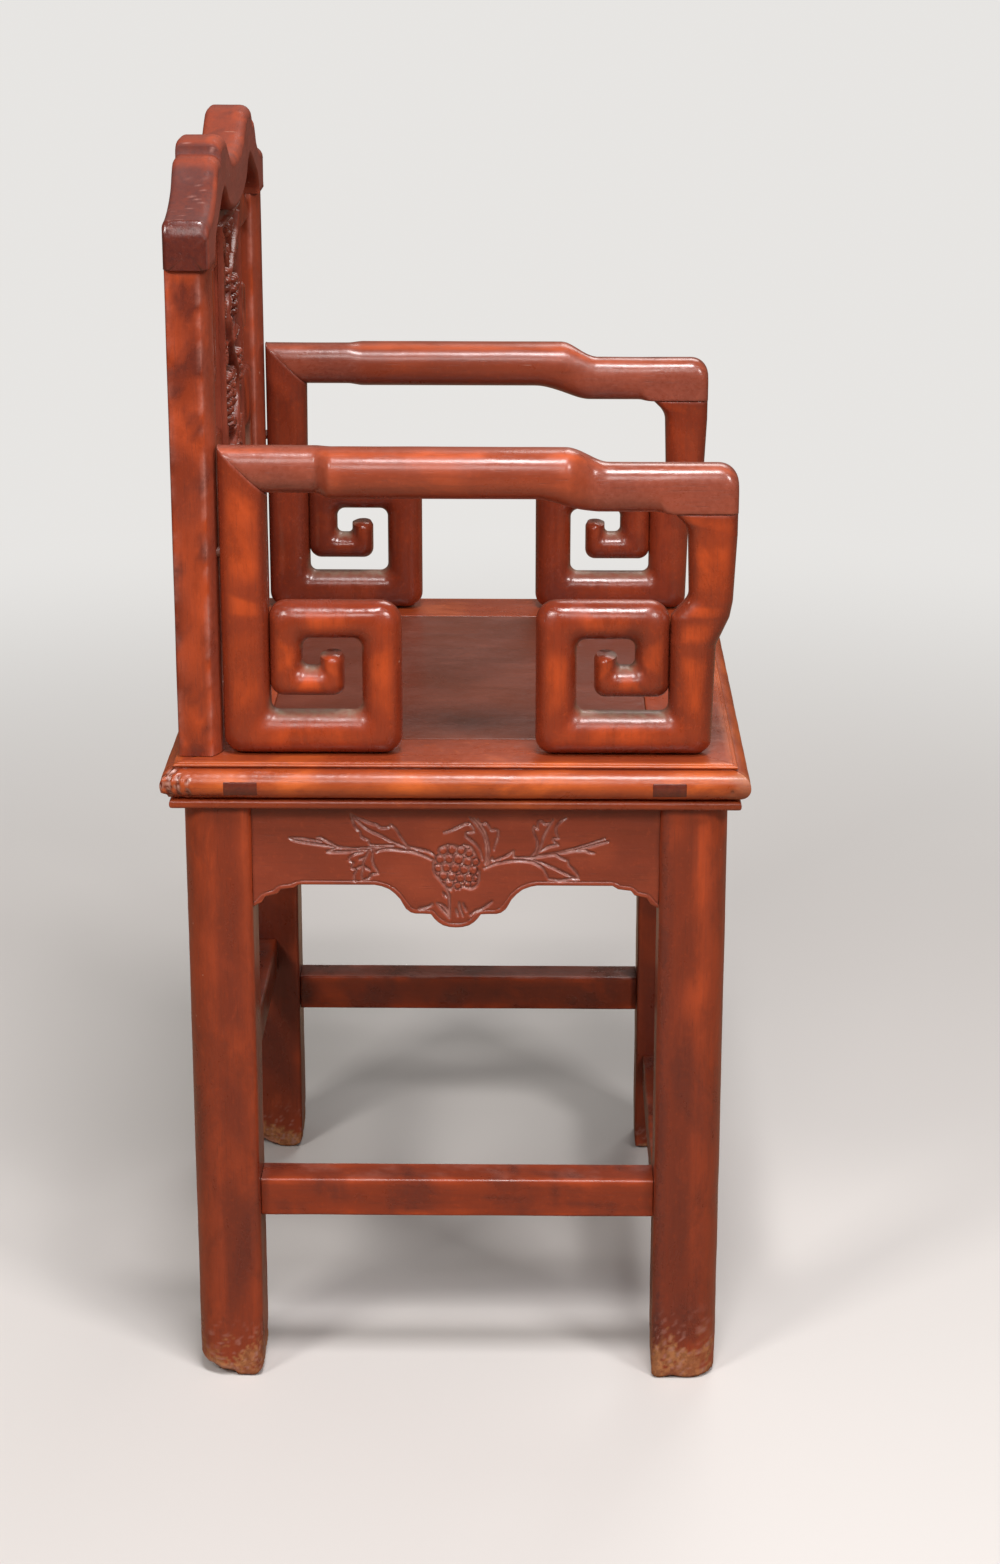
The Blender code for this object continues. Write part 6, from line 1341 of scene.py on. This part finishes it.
scroll_finish = lacquer("lacquer_scrolls", "Z", 14.9, ground=(0.27, 0.037, 0.011), worn=(0.57, 0.078, 0.011),
                        gloss=0.20)
for side, word in ((-1, "right"), (1, "left")):
    front_scroll = scroll(side, FRONT_SCROLL, ARM_FRONT_Y, 1, FRONT_POWERS, 170 + side)
    piece(f"arm_front_scroll_{word}", [front_scroll], scroll_finish, sharp=55)
    rear_scroll = scroll(side, REAR_SCROLL, ARM_REAR_Y, -1, REAR_POWERS, 180 + side)
    piece(f"arm_rear_scroll_{word}", [rear_scroll], scroll_finish, sharp=55)

# The scroll brackets between the splat and the posts
# Lacquered hardwood of the splat's thickness, fitted between the splat and the posts. Below is a frame with a
# hook that hangs in it; above is a bar under the crest from which a hook drops.
BRACKET_NEAR, BRACKET_SPAN = 0.0751, 0.1117
BRACKET_MIDDLE_Y, BRACKET_HALF_Y, BRACKET_POINTS = 0.187, 0.0079, 36
BAR_POWER, HOOK_POWER, HOOK_END_EASE, BUTT_END_EASE = 4.5, 3.2, 0.002, 0.0001
LOWER_FRAME_INNER = (
    (0.016, 0.020, 0.006), (0.0954, 0.020, 0.006), (0.0954, 0.170, 0.006), (0.016, 0.170, 0.006))
LOWER_FRAME_OUTER = (
    (0.0, 0.0004, 0.001), (BRACKET_SPAN, 0.0004, 0.001), (BRACKET_SPAN, 0.216, 0.004), (0.0, 0.216, 0.004))
LOWER_HOOK = (
    (0.032, 0.172, 0, 0.016, 0.172, 0),
    (0.032, 0.076, 0.004, 0.016, 0.060, 0.008),
    (0.052, 0.076, 0.004, 0.068, 0.060, 0.008),
    (0.052, 0.104, 0, 0.068, 0.104, 0))
UPPER_HOOK = (
    (0.038, 0.337, 0, 0.022, 0.337, 0),
    (0.038, 0.268, 0.004, 0.022, 0.252, 0.008),
    (0.058, 0.268, 0.004, 0.074, 0.252, 0.008),
    (0.058, 0.290, 0, 0.074, 0.290, 0))
UPPER_BAR = (
    (0.0, 0.334, 0, 0.0, 0.3645, 0),
    (0.050, 0.334, 0.01, 0.086, 0.3645, 0.012),
    (BRACKET_SPAN, 0.334, 0, BRACKET_SPAN, 0.350, 0))


def bracket_band(side, inner, outer, power, seed, end_ease=None):
    """A band of the brackets: the pillow section between two edges, as thick as the board. It closes on
    itself to a frame unless an ease is given, along which its far end draws in."""
    toward, out = pillow(power, BRACKET_POINTS)
    middle, half = (inner + outer) / 2, (inner - outer) / 2
    length = way_along(middle)
    draw = np.ones((len(length), 1))
    if end_ease:
        draw -= 0.25 * end_round(length[-1] - length, end_ease)[:, None]
    flat = middle[:, None] + half[:, None] * (toward * draw)[..., None]
    y = BRACKET_MIDDLE_Y + BRACKET_HALF_Y * out * draw
    rings = np.stack([side * (BRACKET_NEAR + flat[..., 0]), y, SEAT_TOP + flat[..., 1]], -1)
    rings[..., 1] += (0.0001 + 0.0002 * (1 + ripple(rings, 0.03, seed))) * (out < -0.3)
    face = rise(np.abs(out), 0.7, 1.0)
    ledge = rise(toward, 0.6, 1.0) * (0.3 + 0.3 * ripple(rings, 0.02, seed + 2))
    # The sides of each band, away from its faces, are painted darker as shade.
    return shell(rings, loop=end_ease is None, wear=face * (0.45 + 1.2 * ripple(rings, 0.03, seed + 1)),
                 dust=ledge, dark=(1 - face) * 0.45)


bracket_finish = lacquer("lacquer_brackets", "Z", 22.9, ground=(0.23, 0.036, 0.015), gloss=0.22)
frame_inner, frame_outer = (
    outline(corners, spans=39)[0] for corners in (LOWER_FRAME_INNER, LOWER_FRAME_OUTER))
low_hook, high_hook, high_bar = (band(stops)[:2] for stops in (LOWER_HOOK, UPPER_HOOK, UPPER_BAR))
for side, word in ((-1, "right"), (1, "left")):
    piece(f"back_bracket_lower_{word}", [
        bracket_band(side, frame_inner, frame_outer, BAR_POWER, 230 + side),
        bracket_band(side, *low_hook, HOOK_POWER, 234 + side, HOOK_END_EASE)], bracket_finish, sharp=55)
    piece(f"back_bracket_upper_{word}", [
        bracket_band(side, *high_bar, BAR_POWER, 240 + side, BUTT_END_EASE),
        bracket_band(side, *high_hook, HOOK_POWER, 244 + side, HOOK_END_EASE)], bracket_finish, sharp=55)

# The arm rails
# Lacquered hardwood, mitred to the uprights behind and seated on the front posts. They swell outward for the
# forearm, step down and round over in front, and their top edges are rubbed orange and glossy.
ARM_RAIL_TOP, ARM_RAIL_BOTTOM = 0.2285, 0.1945
ARM_FRONT_TOP, ARM_FRONT_BOTTOM = 0.217, 0.1815
ARM_INNER, ARM_OUTER, ARM_SWELL, ARM_SAG = 0.195, 0.225, 0.012, 0.0024
ARM_END_ROUND, ARM_PINCH, ARM_PINCH_REACH, ARM_MITRE_STEP = 0.0145, 0.007, 0.008, 0.0004
ARM_POINTS, ARM_POWER, ARM_SEAT_POWER, ARM_SEAT_TOP_POWER = 56, 2.4, 12, 0.2
MITRE_Y, MITRE_START = 0.1352, 0.105

# Where along the rail, as metres forward of the chair's middle, each step starts and ends.
SWELL_START, SWELL_END = (-0.1007, -0.0877), (0.0790, 0.1010)
TOP_STEP, LOW_STEP, SEATED = (0.0790, 0.1100), (0.0570, 0.1040), (0.145, 0.160)
ARM_SPANS = (
    (0.11, 0.07, 30), (0.07, -0.06, 36), (-0.06, -0.12, 44), (-0.12, ARM_FRONT_Y + ARM_END_ROUND, 24))
ARM_STATIONS = np.concatenate([
    [MITRE_Y, MITRE_Y - 0.0005], np.linspace(MITRE_Y, 0.11, 10)[1:-1],
    *[np.linspace(*span)[:-1] for span in ARM_SPANS],
    ARM_FRONT_Y + ARM_END_ROUND * (1 - np.sin(np.linspace(0, np.pi / 2, 14)))])


def arm_rail(side, seed):
    """An arm rail: a section, squarer on top than below, carried from the mitre to the front. Its outer side,
    top and bottom follow smooth steps along the rail, and its front end draws in as a quarter round."""
    forward, left = -ARM_STATIONS, ARM_STATIONS - ARM_FRONT_Y
    swollen, lowered = rise(forward, *SWELL_START), rise(forward, *LOW_STEP)
    swell = ARM_SWELL * (swollen - rise(forward, *SWELL_END))
    top = ARM_RAIL_TOP + (ARM_FRONT_TOP - ARM_RAIL_TOP) * rise(forward, *TOP_STEP)
    top -= ARM_END_ROUND * end_round(left, ARM_END_ROUND)
    bottom = ARM_RAIL_BOTTOM + (ARM_FRONT_BOTTOM - ARM_RAIL_BOTTOM) * lowered - ARM_SAG * (swollen - lowered)
    pinch = ARM_PINCH * end_round(left, ARM_PINCH_REACH)
    pinch[0] += ARM_MITRE_STEP
    seated = rise(forward, *SEATED)[:, None]
    lower_half = np.arange(ARM_POINTS) * 2 > ARM_POINTS
    squarer = np.where(lower_half, ARM_SEAT_POWER, ARM_SEAT_TOP_POWER) * seated
    wide, tall = pillow(ARM_POWER + squarer, ARM_POINTS)
    outer = ARM_OUTER + swell
    x = (outer + ARM_INNER)[:, None] / 2 + ((outer - ARM_INNER) / 2 - pinch)[:, None] * wide
    z = (top + bottom)[:, None] / 2 + (top - bottom)[:, None] / 2 * tall
    lean = (z - ARM_RAIL_BOTTOM) * (ARM_REAR_Y - MITRE_Y) / (ARM_RAIL_TOP - ARM_RAIL_BOTTOM)
    y = ARM_STATIONS[:, None]
    y = y + lean * np.clip((y - MITRE_START) / (MITRE_Y - MITRE_START), 0, 1)
    rings = np.stack([side * x, y, SEAT_TOP + z], -1)
    uneven = 0.0001 + 0.0002 * (1 + ripple(rings, 0.05, seed))
    rings[..., 0] -= side * uneven * np.sign(wide) * wide ** 2 * (1 - 0.7 * seated)
    rings[..., 2] -= uneven * np.clip(tall, 0, 1)
    wear = bell(tall, 0.86, 0.10) * (0.75 + 0.8 * ripple(rings, 0.05, seed + 1))
    # The stepped ends are painted darker and given a pale painted sheen, which lies faintly over the whole
    # rail.
    ends = (rise(forward, 0.075, 0.11) + fall(forward, -0.10, -0.08))[:, None]
    return shell(rings, wear=wear + 0.3 * rise(ripple(rings, 0.07, seed + 2), 0.1, 0.5),
                 chalk=0.03 + 0.10 * ends, dark=0.42 * ends * (0.8 + 0.6 * ripple(rings, 0.05, seed + 3)))


arm_finish = lacquer("lacquer_arm_rails", "Y", 16.1, ground=(0.32, 0.052, 0.017), worn=(0.54, 0.085, 0.015),
                     gloss=0.24, coat=0.35)
for side, word in ((-1, "right"), (1, "left")):
    piece(f"arm_rail_{word}", [arm_rail(side, 190 + side)], arm_finish, sharp=50)

# The pegs of the arms
# Small round pegs of bare darkened wood, hidden in the arms' joints. They keep their shape from the CAD model
# and are given their wood here.
peg_finish = lacquer("peg_wood", "Y", 18.0, ground=(0.16, 0.045, 0.022), worn=(0.22, 0.07, 0.03), gloss=0.45)
for name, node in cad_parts.items():
    if name.startswith("arm_peg"):
        node.data.materials.clear()
        node.data.materials.append(peg_finish)
